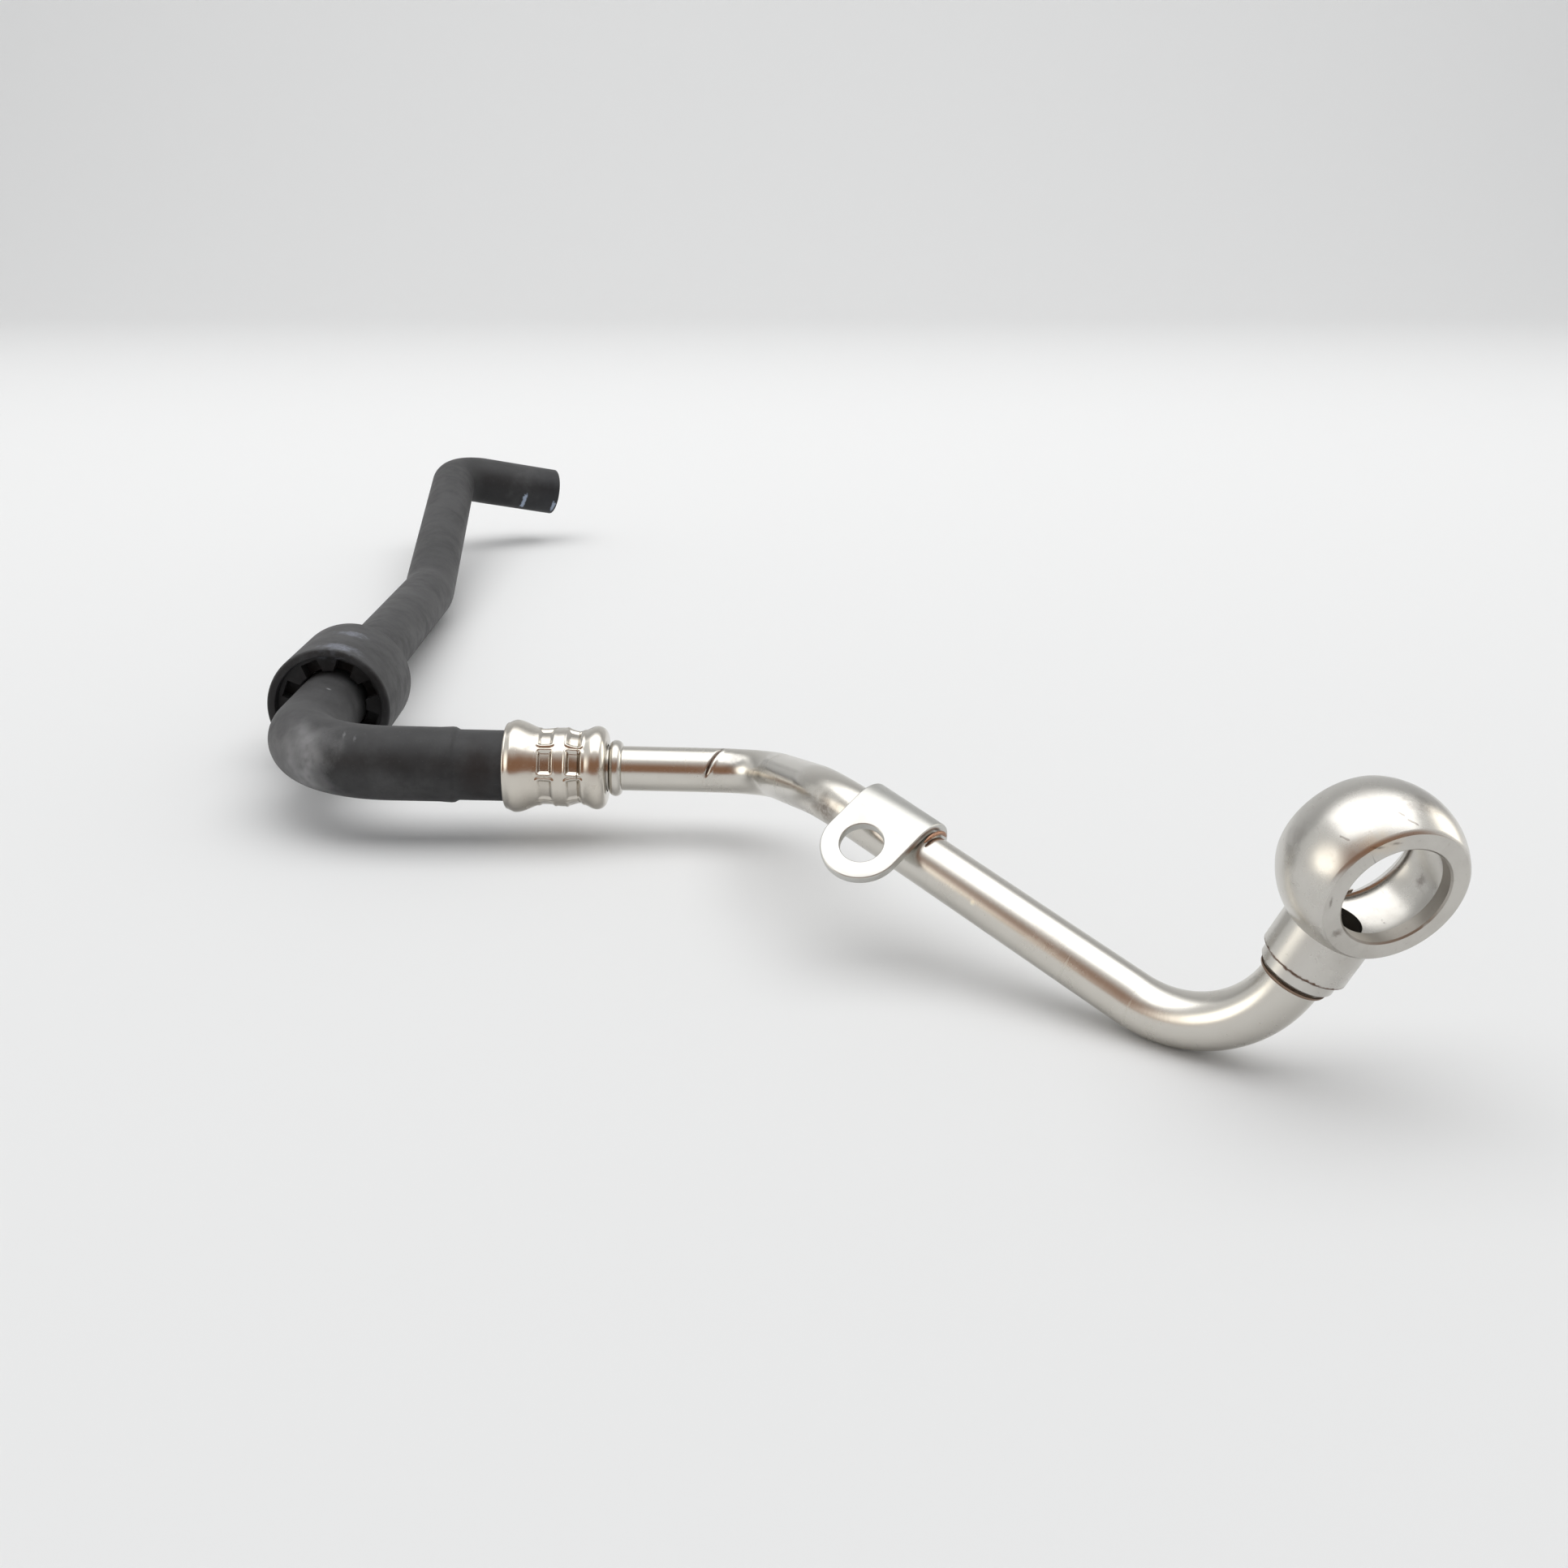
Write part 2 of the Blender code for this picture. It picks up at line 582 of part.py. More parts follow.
def make_strap(parts, cutters, material):
    """One folded strip: wrapped over the tube, then a flat tab with a bolt hole."""
    inner = TUBE_OD / 2 + CLEARANCE
    outer = inner + STRAP_THICKNESS
    tab_end = STRAP_HOLE_FROM_BEND + STRAP_WIDTH / 2
    section = []
    for i in range(STRAP_ARC_STEPS + 1):
        angle = STRAP_WRAP * (1 - i / STRAP_ARC_STEPS)
        section.append((math.sin(angle) * inner, math.cos(angle) * inner))
    section.append((-tab_end, inner))
    half = STRAP_WIDTH / 2
    rows = [(-half, y, z) for y, z in section] + [(half, y, z) for y, z in section]
    count = len(section)
    faces = [(i, i + 1, count + i + 1, count + i) for i in range(count - 1)]
    mesh = bpy.data.meshes.new("mounting_bracket")
    mesh.from_pydata(rows, [], faces)
    strap = add_mesh_object("mounting_bracket", mesh, parts)
    place = strap_frame()
    strap.matrix_world = place
    strap.data.materials.append(material)
    sheet = strap.modifiers.new("Sheet", "SOLIDIFY")
    sheet.thickness = STRAP_THICKNESS
    sheet.offset = 1.0
    sheet.use_even_offset = True

    hole_place = place @ Matrix.Translation((0.0, -STRAP_HOLE_FROM_BEND, inner + STRAP_THICKNESS / 2))
    disc = bmesh.new()
    bmesh.ops.create_cone(
        disc,
        cap_ends=True,
        segments=STRAP_STEPS,
        radius1=half,
        radius2=half,
        depth=outer,
    )
    disc_mesh = bpy.data.meshes.new("tab_end_round")
    disc.to_mesh(disc_mesh)
    disc.free()
    rounding = as_cutter(add_mesh_object("tab_end_round", disc_mesh, cutters))
    rounding.matrix_world = hole_place
    corner_block = bmesh.new()
    block_size = Matrix.Diagonal((STRAP_WIDTH + 2 * OVERSHOOT, half + OVERSHOOT, outer - OVERSHOOT, 1.0))
    bmesh.ops.create_cube(
        corner_block,
        size=1.0,
        matrix=Matrix.Translation((0.0, -(half + OVERSHOOT) / 2, 0.0)) @ block_size,
    )
    block_mesh = bpy.data.meshes.new("tab_corners")
    corner_block.to_mesh(block_mesh)
    corner_block.free()
    corners = as_cutter(add_mesh_object("tab_corners", block_mesh, cutters))
    corners.matrix_world = hole_place
    boolean(corners, rounding, "DIFFERENCE")
    boolean(strap, corners, "DIFFERENCE")

    drill = bmesh.new()
    bmesh.ops.create_cone(
        drill,
        cap_ends=True,
        segments=STRAP_STEPS,
        radius1=STRAP_HOLE / 2,
        radius2=STRAP_HOLE / 2,
        depth=outer,
    )
    drill_mesh = bpy.data.meshes.new("tab_hole")
    drill.to_mesh(drill_mesh)
    drill.free()
    hole = as_cutter(add_mesh_object("tab_hole", drill_mesh, cutters))
    hole.matrix_world = hole_place
    boolean(strap, hole, "DIFFERENCE")


def make_strap_braze(parts, material):
    """Bead of braze round the tube at the strap's edge nearest the eye."""
    bead = BRAZE_BEAD / 2
    radius = TUBE_OD / 2 + CLEARANCE + bead
    place = strap_frame()
    edge = STRAP_WIDTH / 2 + CLEARANCE + bead
    stations = []
    for i in range(STRAP_ARC_STEPS + 1):
        angle = BRAZE_ARC * i / STRAP_ARC_STEPS
        local = Vector((edge, math.sin(angle) * radius, math.cos(angle) * radius))
        stations.append((place @ local, bead))
    fillet = swept("bracket_braze", stations, BRAZE_SIDES_STEP, parts)
    fillet.data.materials.append(material)


def build():
    """Build the whole line."""
    clear_scene()
    parts = make_collection("coolant_line")
    cutters = make_collection("cutters")
    rubber = make_material("hose_rubber", (0.035, 0.036, 0.038), 0.6, 0.0)
    collar_rubber = make_material("collar_rubber", (0.022, 0.022, 0.023), 0.55, 0.0)
    satin_steel = make_material("satin_steel", (0.72, 0.7, 0.67), 0.28, 1.0)
    bright_steel = make_material("turned_steel", (0.76, 0.75, 0.73), 0.22, 1.0)
    crimp_steel = make_material("crimped_steel", (0.7, 0.68, 0.64), 0.25, 1.0)
    plated_sheet = make_material("plated_sheet", (0.8, 0.79, 0.76), 0.3, 1.0)
    braze = make_material("braze", (0.62, 0.33, 0.2), 0.4, 1.0)
    make_hose(parts, cutters, rubber)
    make_tube(parts, cutters, satin_steel)
    make_ferrule(parts, cutters, crimp_steel)
    make_collar(parts, cutters, collar_rubber)
    make_banjo(parts, cutters, bright_steel)
    make_braze_ring(parts, braze)
    make_strap(parts, cutters, plated_sheet)
    make_strap_braze(parts, braze)


build()
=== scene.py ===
"""Looks of the coolant line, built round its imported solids.

Every solid is replaced by a finer piece of the same size and place: the hose and the
tube are swept along the line's own route, the ferrule is pressed, the collar and the
banjo eye are turned and cut, and the strap is folded from a flat blank. Sizes are in
metres, +Z is up and +Y points away from the viewer.
"""

import logging
import math
from dataclasses import dataclass, field, replace
from enum import Enum

import bmesh
import bpy
import numpy as np
from mathutils import Matrix, Vector

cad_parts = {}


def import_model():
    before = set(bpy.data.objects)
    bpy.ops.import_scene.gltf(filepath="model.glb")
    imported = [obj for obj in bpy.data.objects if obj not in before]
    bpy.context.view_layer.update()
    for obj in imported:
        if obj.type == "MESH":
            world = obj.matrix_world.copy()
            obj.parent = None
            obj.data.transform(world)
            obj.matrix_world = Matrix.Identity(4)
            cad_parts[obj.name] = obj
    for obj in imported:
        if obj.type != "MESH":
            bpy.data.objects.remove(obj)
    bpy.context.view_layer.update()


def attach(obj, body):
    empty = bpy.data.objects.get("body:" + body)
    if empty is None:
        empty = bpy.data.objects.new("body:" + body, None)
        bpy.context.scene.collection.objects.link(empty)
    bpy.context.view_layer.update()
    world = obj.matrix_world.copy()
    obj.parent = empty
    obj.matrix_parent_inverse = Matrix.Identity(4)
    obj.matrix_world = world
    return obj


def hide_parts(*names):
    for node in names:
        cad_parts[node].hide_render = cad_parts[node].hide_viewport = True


MM = 0.001
BODY = "root"
LOG = logging.getLogger("coolant_line")

Station = tuple[Vector, float]
Colour = tuple[float, float, float]


class Slot(Enum):
    """Material slots of the record, named beside each piece as it is placed."""

    HOSE = "hose_rubber"
    COLLAR = "collar_rubber"
    TUBE = "satin_steel"
    EYE = "turned_steel"
    FERRULE = "crimped_steel"
    STRAP = "plated_sheet"
    BRAZE = "braze"


class Pattern(Enum):
    """What a metal's fine marks follow."""

    DRAWN = "drawn"
    TURNED = "turned"
    ROLLED = "rolled"


@dataclass(frozen=True)
class Run:
    """A straight run of the centreline from corner to corner.

    Attributes:
        length: metres from corner to corner.
        heading: degrees clockwise from +Y, seen from above.
        slope: degrees above the floor.
    """

    length: float
    heading: float
    slope: float

    def end(self, start: Vector) -> Vector:
        """Corner at the far end of the run.

        Args:
            start: corner that the run leaves from.

        Returns:
            The corner that it reaches.
        """
        heading = math.radians(self.heading)
        slope = math.radians(self.slope)
        flat = self.length * math.cos(slope)
        return start + Vector((flat * math.sin(heading), flat * math.cos(heading), self.length * math.sin(slope)))


@dataclass
class Line:
    """Centreline of the whole line, with the same runs and bends as the solids."""

    elbow: Vector = field(default_factory=lambda: Vector((-74.42, -94.02, 14.82)) * MM)
    hose_long: Run = Run(160.2 * MM, -2.8, -2.3)
    hose_rising: Run = Run(105.1 * MM, -6.5, 8.4)
    hose_end: Run = Run(34.1 * MM, 65.0, -12.7)
    hose_crimp: Run = Run(86.7 * MM, 89.6, -1.5)
    tube_set: Run = Run(39.8 * MM, 164.6, 13.7)
    tube_long: Run = Run(72.6 * MM, 130.5, -17.6)
    tube_eye: Run = Run(34.0 * MM, 111.8, 65.2)
    hose_far_bend: float = 12.0 * MM
    hose_rest_bend: float = 32.0 * MM
    hose_elbow_bend: float = 20.0 * MM
    tube_set_bend: float = 12.0 * MM
    tube_crest_bend: float = 20.0 * MM
    tube_rest_bend: float = 17.5 * MM
    crimp_from_elbow: float = 58.2 * MM
    bend_step: float = math.radians(2.5)

    def __post_init__(self) -> None:
        """Set out the corners from the elbow."""
        self.rest = self.hose_long.end(self.elbow)
        self.far = self.hose_rising.end(self.rest)
        self.free_end = self.hose_end.end(self.far)
        self.set_corner = self.hose_crimp.end(self.elbow)
        self.crest = self.tube_set.end(self.set_corner)
        self.tube_rest = self.tube_long.end(self.crest)
        self.eye = self.tube_eye.end(self.tube_rest)

    def bend(self, before: Vector, corner: Vector, after: Vector, radius: float) -> list[Vector]:
        """Points of the arc that rounds a corner.

        Args:
            before: corner that the line comes from.
            corner: corner to round.
            after: corner that the line goes to.
            radius: bend radius of the centreline.

        Returns:
            Points of the arc, its two ends among them.
        """
        back = (before - corner).normalized()
        ahead = (after - corner).normalized()
        opening = back.angle(ahead)
        centre = corner + (back + ahead).normalized() * radius / math.sin(opening / 2)
        turn = math.pi - opening
        start = corner + back * radius / math.tan(opening / 2) - centre
        axis = (-back).cross(ahead)
        steps = max(3, math.ceil(turn / self.bend_step))
        return [centre + Matrix.Rotation(turn * i / steps, 3, axis) @ start for i in range(steps + 1)]

    def hose_bends(self) -> list[Vector]:
        """Arcs of the hose, from its free end to the crimp."""
        return (
            self.bend(self.free_end, self.far, self.rest, self.hose_far_bend)
            + self.bend(self.far, self.rest, self.elbow, self.hose_rest_bend)
            + self.bend(self.rest, self.elbow, self.set_corner, self.hose_elbow_bend)
        )

    def tube_bends(self) -> list[Vector]:
        """Arcs of the tube, from the crimp to the eye."""
        return (
            self.bend(self.elbow, self.set_corner, self.crest, self.tube_set_bend)
            + self.bend(self.set_corner, self.crest, self.tube_rest, self.tube_crest_bend)
            + self.bend(self.crest, self.tube_rest, self.eye, self.tube_rest_bend)
        )

    def crimp_point(self, distance: float) -> Vector:
        """Point on the crimp's axis, from the ferrule's bead face towards the eye."""
        axis = (self.set_corner - self.elbow).normalized()
        return self.elbow + axis * (self.crimp_from_elbow + distance)

    def stem_point(self, distance: float) -> Vector:
        """Point on the stem's axis, from the eye's centre towards the tube."""
        return self.eye + (self.tube_rest - self.eye).normalized() * distance


def standing_on(origin: Vector, axis: Vector, toward: Vector) -> Matrix:
    """Matrix with +Z along an axis.

    Args:
        origin: place of the frame's origin.
        axis: direction of its +Z.
        toward: direction that its +X keeps nearest to.

    Returns:
        The frame as a 4 x 4 matrix.
    """
    up = axis.normalized()
    side = (toward - up * toward.dot(up)).normalized()
    matrix = Matrix((side, up.cross(side), up)).transposed().to_4x4()
    matrix.translation = origin
    return matrix


class Tree:
    """A Geometry Nodes or shader tree under construction, with named inputs."""

    def __init__(self, name: str, kind: str) -> None:
        """Start an empty tree of a kind such as GeometryNodeTree."""
        self.tree = bpy.data.node_groups.new(name, kind)
        self.entry = self.tree.nodes.new("NodeGroupInput")
        self.exit = self.tree.nodes.new("NodeGroupOutput")

    def input(self, name: str, kind: str, default: object = None) -> bpy.types.NodeSocket:
        """Add a named input.

        Args:
            name: name of the input.
            kind: socket type, such as NodeSocketFloat.
            default: value where nothing is set.

        Returns:
            The socket that gives the value inside the tree.
        """
        made = self.tree.interface.new_socket(name=name, in_out="INPUT", socket_type=kind)
        if default is not None:
            made.default_value = default
        return self.entry.outputs[name]

    def output(self, name: str, kind: str, source: bpy.types.NodeSocket) -> None:
        """Add a named output fed by a socket."""
        self.tree.interface.new_socket(name=name, in_out="OUTPUT", socket_type=kind)
        self.tree.links.new(source, self.exit.inputs[name])

    def node(self, kind: str, values: dict | None = None, **settings: object) -> bpy.types.Node:
        """Add a node.

        Args:
            kind: Blender's type name of the node.
            values: a value or a socket for each input name or number.
            settings: properties of the node.

        Returns:
            The new node.
        """
        return add_node(self.tree, kind, values, **settings)

    def maths(self, operation: str, *values: object) -> bpy.types.NodeSocket:
        """Result of one Math node on values or sockets."""
        return self.node("ShaderNodeMath", dict(enumerate(values)), operation=operation).outputs[0]

    def vector(self, operation: str, *values: object) -> bpy.types.Node:
        """A Vector Math node on values or sockets."""
        return self.node("ShaderNodeVectorMath", dict(enumerate(values)), operation=operation)


def add_node(tree: bpy.types.NodeTree, kind: str, values: dict | None = None, **settings: object) -> bpy.types.Node:
    """Add a node to any tree.

    Args:
        tree: tree that takes the node.
        kind: Blender's type name of the node.
        values: a value or a socket for each input name or number.
        settings: properties of the node.

    Returns:
        The new node.
    """
    made = tree.nodes.new(kind)
    for key, value in settings.items():
        setattr(made, key, value)
    for key, value in (values or {}).items():
        if isinstance(value, bpy.types.NodeSocket):
            tree.links.new(value, made.inputs[key])
        else:
            made.inputs[key].default_value = value
    return made


def apply_tree(piece: bpy.types.Object, tree: bpy.types.NodeTree, values: dict[str, object]) -> None:
    """Put a Geometry Nodes tree on a piece.

    Args:
        piece: mesh or curve object.
        tree: the tree.
        values: a value for each of its input names.
    """
    modifier = piece.modifiers.new(tree.name, "NODES")
    modifier.node_group = tree
    sockets = {item.name: item.identifier for item in tree.interface.items_tree if item.in_out == "INPUT"}
    for name, value in values.items():
        modifier[sockets[name]] = value


def settled(piece: bpy.types.Object, name: str, place: Matrix, sharp: float = 40.0) -> bpy.types.Object:
    """Turn a piece and its modifiers into a plain mesh at the origin.

    Args:
        piece: object with live modifiers.
        name: name of the finished piece.
        place: where it belongs in the row frame.
        sharp: angle in degrees past which an edge stays sharp.

    Returns:
        The finished piece, its place in its mesh.
    """
    evaluated = piece.evaluated_get(bpy.context.evaluated_depsgraph_get())
    mesh = bpy.data.meshes.new_from_object(evaluated)
    bpy.data.objects.remove(piece, do_unlink=True)
    mesh.transform(place)
    mesh.shade_smooth()
    mesh.set_sharp_from_angle(angle=math.radians(sharp))
    mesh.name = name
    return linked(name, mesh)


def linked(name: str, data: bpy.types.ID) -> bpy.types.Object:
    """Object for some data, in the scene."""
    made = bpy.data.objects.new(name, data)
    bpy.context.scene.collection.objects.link(made)
    return made


def merged(mesh: bpy.types.Mesh, distance: float = 0.002 * MM) -> None:
    """Join doubled vertices and turn every face outwards."""
    work = bmesh.new()
    work.from_mesh(mesh)
    bmesh.ops.remove_doubles(work, verts=work.verts, dist=distance)
    bmesh.ops.recalc_face_normals(work, faces=work.faces)
    work.to_mesh(mesh)
    work.free()


def sweep_tree() -> bpy.types.NodeTree:
    """Tree that sweeps a round section along a curve, with the curve's own radius."""
    tree = Tree("sweep_round", "GeometryNodeTree")
    route = tree.input("Route", "NodeSocketGeometry")
    sides = tree.input("Sides", "NodeSocketInt", 64)
    caps = tree.input("Caps", "NodeSocketBool", True)
    material = tree.input("Material", "NodeSocketMaterial")
    along = tree.node("GeometryNodeSplineParameter").outputs["Length"]
    marked = tree.node(
        "GeometryNodeStoreNamedAttribute",
        {"Geometry": route, "Name": "along", "Value": along},
        data_type="FLOAT",
        domain="POINT",
    )
    ring = tree.node("GeometryNodeCurvePrimitiveCircle", {"Resolution": sides, "Radius": 1.0})
    radius = tree.node("GeometryNodeInputRadius").outputs[0]
    swept = tree.node(
        "GeometryNodeCurveToMesh",
        {"Curve": marked.outputs[0], "Profile Curve": ring.outputs[0], "Scale": radius, "Fill Caps": caps},
    )
    real = tree.node("GeometryNodeRealizeInstances", {"Geometry": swept.outputs[0]})
    dressed = tree.node("GeometryNodeSetMaterial", {"Geometry": real.outputs[0], "Material": material})
    tree.output("Geometry", "NodeSocketGeometry", dressed.outputs[0])
    return tree.tree


def ring_cut_tree() -> bpy.types.NodeTree:
    """Tree that cuts evenly spaced boxes out of a turned body, round its Z axis."""
    tree = Tree("ring_of_windows", "GeometryNodeTree")
    body = tree.input("Body", "NodeSocketGeometry")
    count = tree.input("Count", "NodeSocketInt", 8)
    radius = tree.input("Radius", "NodeSocketFloat", 0.01)
    height = tree.input("Height", "NodeSocketFloat", 0.0)
    size = tree.input("Size", "NodeSocketVector", (0.001, 0.001, 0.001))
    material = tree.input("Material", "NodeSocketMaterial")
    ring = tree.node("GeometryNodeMeshCircle", {"Vertices": count, "Radius": radius})
    points = tree.node("GeometryNodeMeshToPoints", {"Mesh": ring.outputs[0]})
    offset = tree.node("ShaderNodeCombineXYZ", {"Z": height})
    lifted = tree.node("GeometryNodeSetPosition", {"Geometry": points.outputs[0], "Offset": offset.outputs[0]})
    index = tree.node("GeometryNodeInputIndex").outputs[0]
    turn = tree.maths("DIVIDE", tree.maths("MULTIPLY", index, math.tau), count)
    facing = tree.node("ShaderNodeCombineXYZ", {"Z": turn})
    box = tree.node("GeometryNodeMeshCube", {"Size": size})
    spread = tree.node(
        "GeometryNodeInstanceOnPoints",
        {"Points": lifted.outputs[0], "Instance": box.outputs[0], "Rotation": facing.outputs[0]},
    )
    real = tree.node("GeometryNodeRealizeInstances", {"Geometry": spread.outputs[0]})
    cut = tree.node("GeometryNodeMeshBoolean", operation="DIFFERENCE", solver="EXACT")
    tree.tree.links.new(body, cut.inputs["Mesh 1"])
    tree.tree.links.new(real.outputs[0], cut.inputs["Mesh 2"])
    dressed = tree.node("GeometryNodeSetMaterial", {"Geometry": cut.outputs["Mesh"], "Material": material})
    tree.output("Geometry", "NodeSocketGeometry", dressed.outputs[0])
    return tree.tree


def pressed_pads_tree() -> bpy.types.NodeTree:
    """Tree that presses a ring of rectangular pads into a turned sleeve round its Z axis.

    Each pad is a flat-bottomed dent, and the metal round it swells a little. The pad that
    faces local X is the deepest, and the others have the faint share of its depth.
    """
    tree = Tree("pressed_pads", "GeometryNodeTree")
    body = tree.input("Sleeve", "NodeSocketGeometry")
    count = tree.input("Count", "NodeSocketFloat", 8.0)
    height = tree.input("Height", "NodeSocketFloat", 0.0)
    length = tree.input("Length", "NodeSocketFloat", 0.002)
    width = tree.input("Width", "NodeSocketFloat", 0.003)
    depth = tree.input("Depth", "NodeSocketFloat", 0.0003)
    swell = tree.input("Swell", "NodeSocketFloat", 0.0001)
    edge = tree.input("Edge", "NodeSocketFloat", 0.0003)
    inside = tree.input("Inside", "NodeSocketFloat", 0.0)
    faint = tree.input("Faint", "NodeSocketFloat", 1.0)
    material = tree.input("Material", "NodeSocketMaterial")
    position = tree.node("GeometryNodeInputPosition").outputs[0]
    parts = tree.node("ShaderNodeSeparateXYZ", {0: position})
    across, along_y, along_z = parts.outputs
    radius = tree.maths("SQRT", tree.maths("ADD", tree.maths("POWER", across, 2.0), tree.maths("POWER", along_y, 2.0)))
    angle = tree.maths("ARCTAN2", along_y, across)
    cell = tree.maths("MULTIPLY", angle, tree.maths("DIVIDE", count, math.tau))
    share = tree.maths("ABSOLUTE", tree.maths("SUBTRACT", tree.maths("FRACT", tree.maths("ADD", cell, 0.5)), 0.5))
    span = tree.maths("DIVIDE", tree.maths("MULTIPLY", radius, math.tau), count)
    sideways = tree.maths("SUBTRACT", tree.maths("MULTIPLY", share, span), tree.maths("MULTIPLY", width, 0.5))
    lengthways = tree.maths(
        "SUBTRACT",
        tree.maths("ABSOLUTE", tree.maths("SUBTRACT", along_z, height)),
        tree.maths("MULTIPLY", length, 0.5),
    )
    outside_x = tree.maths("MAXIMUM", sideways, 0.0)
    outside_z = tree.maths("MAXIMUM", lengthways, 0.0)
    beyond = tree.maths("SQRT", tree.maths("ADD", tree.maths("POWER", outside_x, 2.0), tree.maths("POWER", outside_z, 2.0)))
    within = tree.maths("MINIMUM", tree.maths("MAXIMUM", sideways, lengthways), 0.0)
    distance = tree.maths("ADD", beyond, within)
    scaled = tree.maths("DIVIDE", distance, edge)
    dent = tree.node("ShaderNodeMapRange", {0: scaled, 1: -0.5, 2: 0.5, 3: 1.0, 4: 0.0}, interpolation_type="SMOOTHERSTEP")
    rise = tree.node("ShaderNodeMapRange", {0: scaled, 1: 0.2, 2: 1.0, 3: 0.0, 4: 1.0}, interpolation_type="SMOOTHSTEP")
    fall = tree.node("ShaderNodeMapRange", {0: scaled, 1: 1.0, 2: 1.8, 3: 1.0, 4: 0.0}, interpolation_type="SMOOTHSTEP")
    frame = tree.maths("MULTIPLY", tree.maths("MULTIPLY", rise.outputs[0], fall.outputs[0]), swell)
    sink = tree.maths("MULTIPLY", dent.outputs[0], depth)
    push = tree.maths("SUBTRACT", frame, sink)
    outer = tree.maths("GREATER_THAN", radius, inside)
    facing = tree.node("ShaderNodeMapRange", {0: tree.maths("COSINE", angle), 1: 0.75, 2: 0.9, 3: faint, 4: 1.0})
    push = tree.maths("MULTIPLY", tree.maths("MULTIPLY", push, facing.outputs[0]), outer)
    flat = tree.node("ShaderNodeCombineXYZ", {"X": across, "Y": along_y})
    outward = tree.vector("NORMALIZE", flat.outputs[0])
    shift = tree.node("ShaderNodeVectorMath", {0: outward.outputs[0], "Scale": push}, operation="SCALE")
    before = tree.node("GeometryNodeInputNamedAttribute", {"Name": "pressed"}, data_type="FLOAT").outputs[0]
    pressed = tree.maths("MAXIMUM", before, tree.maths("MULTIPLY", dent.outputs[0], outer))
    marked = tree.node(
        "GeometryNodeStoreNamedAttribute",
        {"Geometry": body, "Name": "pressed", "Value": pressed},
        data_type="FLOAT",
        domain="POINT",
    )
    moved = tree.node("GeometryNodeSetPosition", {"Geometry": marked.outputs[0], "Offset": shift.outputs[0]})
    real = tree.node("GeometryNodeRealizeInstances", {"Geometry": moved.outputs[0]})
    dressed = tree.node("GeometryNodeSetMaterial", {"Geometry": real.outputs[0], "Material": material})
    tree.output("Geometry", "NodeSocketGeometry", dressed.outputs[0])
    return tree.tree


def turned_mesh(name: str, outline: list[tuple[float, float]], steps: int, closed: bool) -> bpy.types.Mesh:
    """Mesh of revolution about Z.

    Args:
        name: name of the mesh.
        outline: (radius, height) points.
        steps: faces round the axis.
        closed: whether the outline's last point joins its first.

    Returns:
        The mesh, with its faces outwards.
    """
    work = bmesh.new()
    verts = [work.verts.new((radius, 0.0, height)) for radius, height in outline]
    pairs = list(zip(verts, verts[1:]))
    if closed:
        pairs.append((verts[-1], verts[0]))
    edges = [work.edges.new(pair) for pair in pairs]
    bmesh.ops.spin(
        work,
        geom=verts + edges,
        cent=(0.0, 0.0, 0.0),
        axis=(0.0, 0.0, 1.0),
        angle=math.tau,
        steps=steps,
        use_merge=True,
    )
    bmesh.ops.remove_doubles(work, verts=work.verts, dist=0.001 * MM)
    bmesh.ops.recalc_face_normals(work, faces=work.faces)
    mesh = bpy.data.meshes.new(name)
    work.to_mesh(mesh)
    work.free()
    return mesh


def rounded_outline(corners: list[tuple[float, float, float]], steps: int = 4) -> list[tuple[float, float]]:
    """Closed outline with each corner rounded by its own radius.

    Args:
        corners: (radius, height, rounding) of each corner, in order round the outline.
        steps: segments of each rounded corner.

    Returns:
        (radius, height) points.
    """
    points: list[tuple[float, float]] = []
    count = len(corners)
    for i, (x, y, rounding) in enumerate(corners):
        here = Vector((x, y))
        if rounding <= 0.0:
            points.append((x, y))
            continue
        before = Vector(corners[i - 1][:2])
        after = Vector(corners[(i + 1) % count][:2])
        back = (before - here).normalized()
        ahead = (after - here).normalized()
        opening = back.angle(ahead)
        reach = rounding / math.tan(opening / 2)
        start = here + back * reach
        end = here + ahead * reach
        for k in range(steps + 1):
            share = k / steps
            blend = start.lerp(here, share).lerp(here.lerp(end, share), share)
            points.append((blend.x, blend.y))
    return points


def polished(piece: bpy.types.Object, width: float, segments: int, limit: float) -> None:
    """Round a piece's sharp edges.

    Args:
        piece: object to round.
        width: width of the bevel.
        segments: faces across it.
        limit: angle in degrees past which an edge is rounded.
    """
    bevel = piece.modifiers.new("Rounding", "BEVEL")
    bevel.width = width
    bevel.segments = segments
    bevel.limit_method = "ANGLE"
    bevel.angle_limit = math.radians(limit)
    bevel.use_clamp_overlap = True


def boolean(piece: bpy.types.Object, tool: bpy.types.Object, operation: str) -> None:
    """Join a tool to a piece or cut it away."""
    tool.hide_render = True
    modifier = piece.modifiers.new(tool.name, "BOOLEAN")
    modifier.operation = operation
    modifier.solver = "EXACT"
    modifier.object = tool


def dropped(*tools: bpy.types.Object) -> None:
    """Remove cutters once they are used."""
    for tool in tools:
        bpy.data.objects.remove(tool, do_unlink=True)


@dataclass(frozen=True)
class Spot:
    """A patch of another tone at a place on a piece.

    Attributes:
        centre: place in millimetres.
        reach: radius in millimetres.
        tone: colour of the patch.
        strength: how much of it shows at the middle.
        ragged: how far noise breaks its edge, 0 for a clean edge.
        squash: share of the reach along each axis.
    """

    centre: tuple[float, float, float]
    reach: float
    tone: Colour
    strength: float
    ragged: float = 0.3
    squash: tuple[float, float, float] = (1.0, 1.0, 1.0)


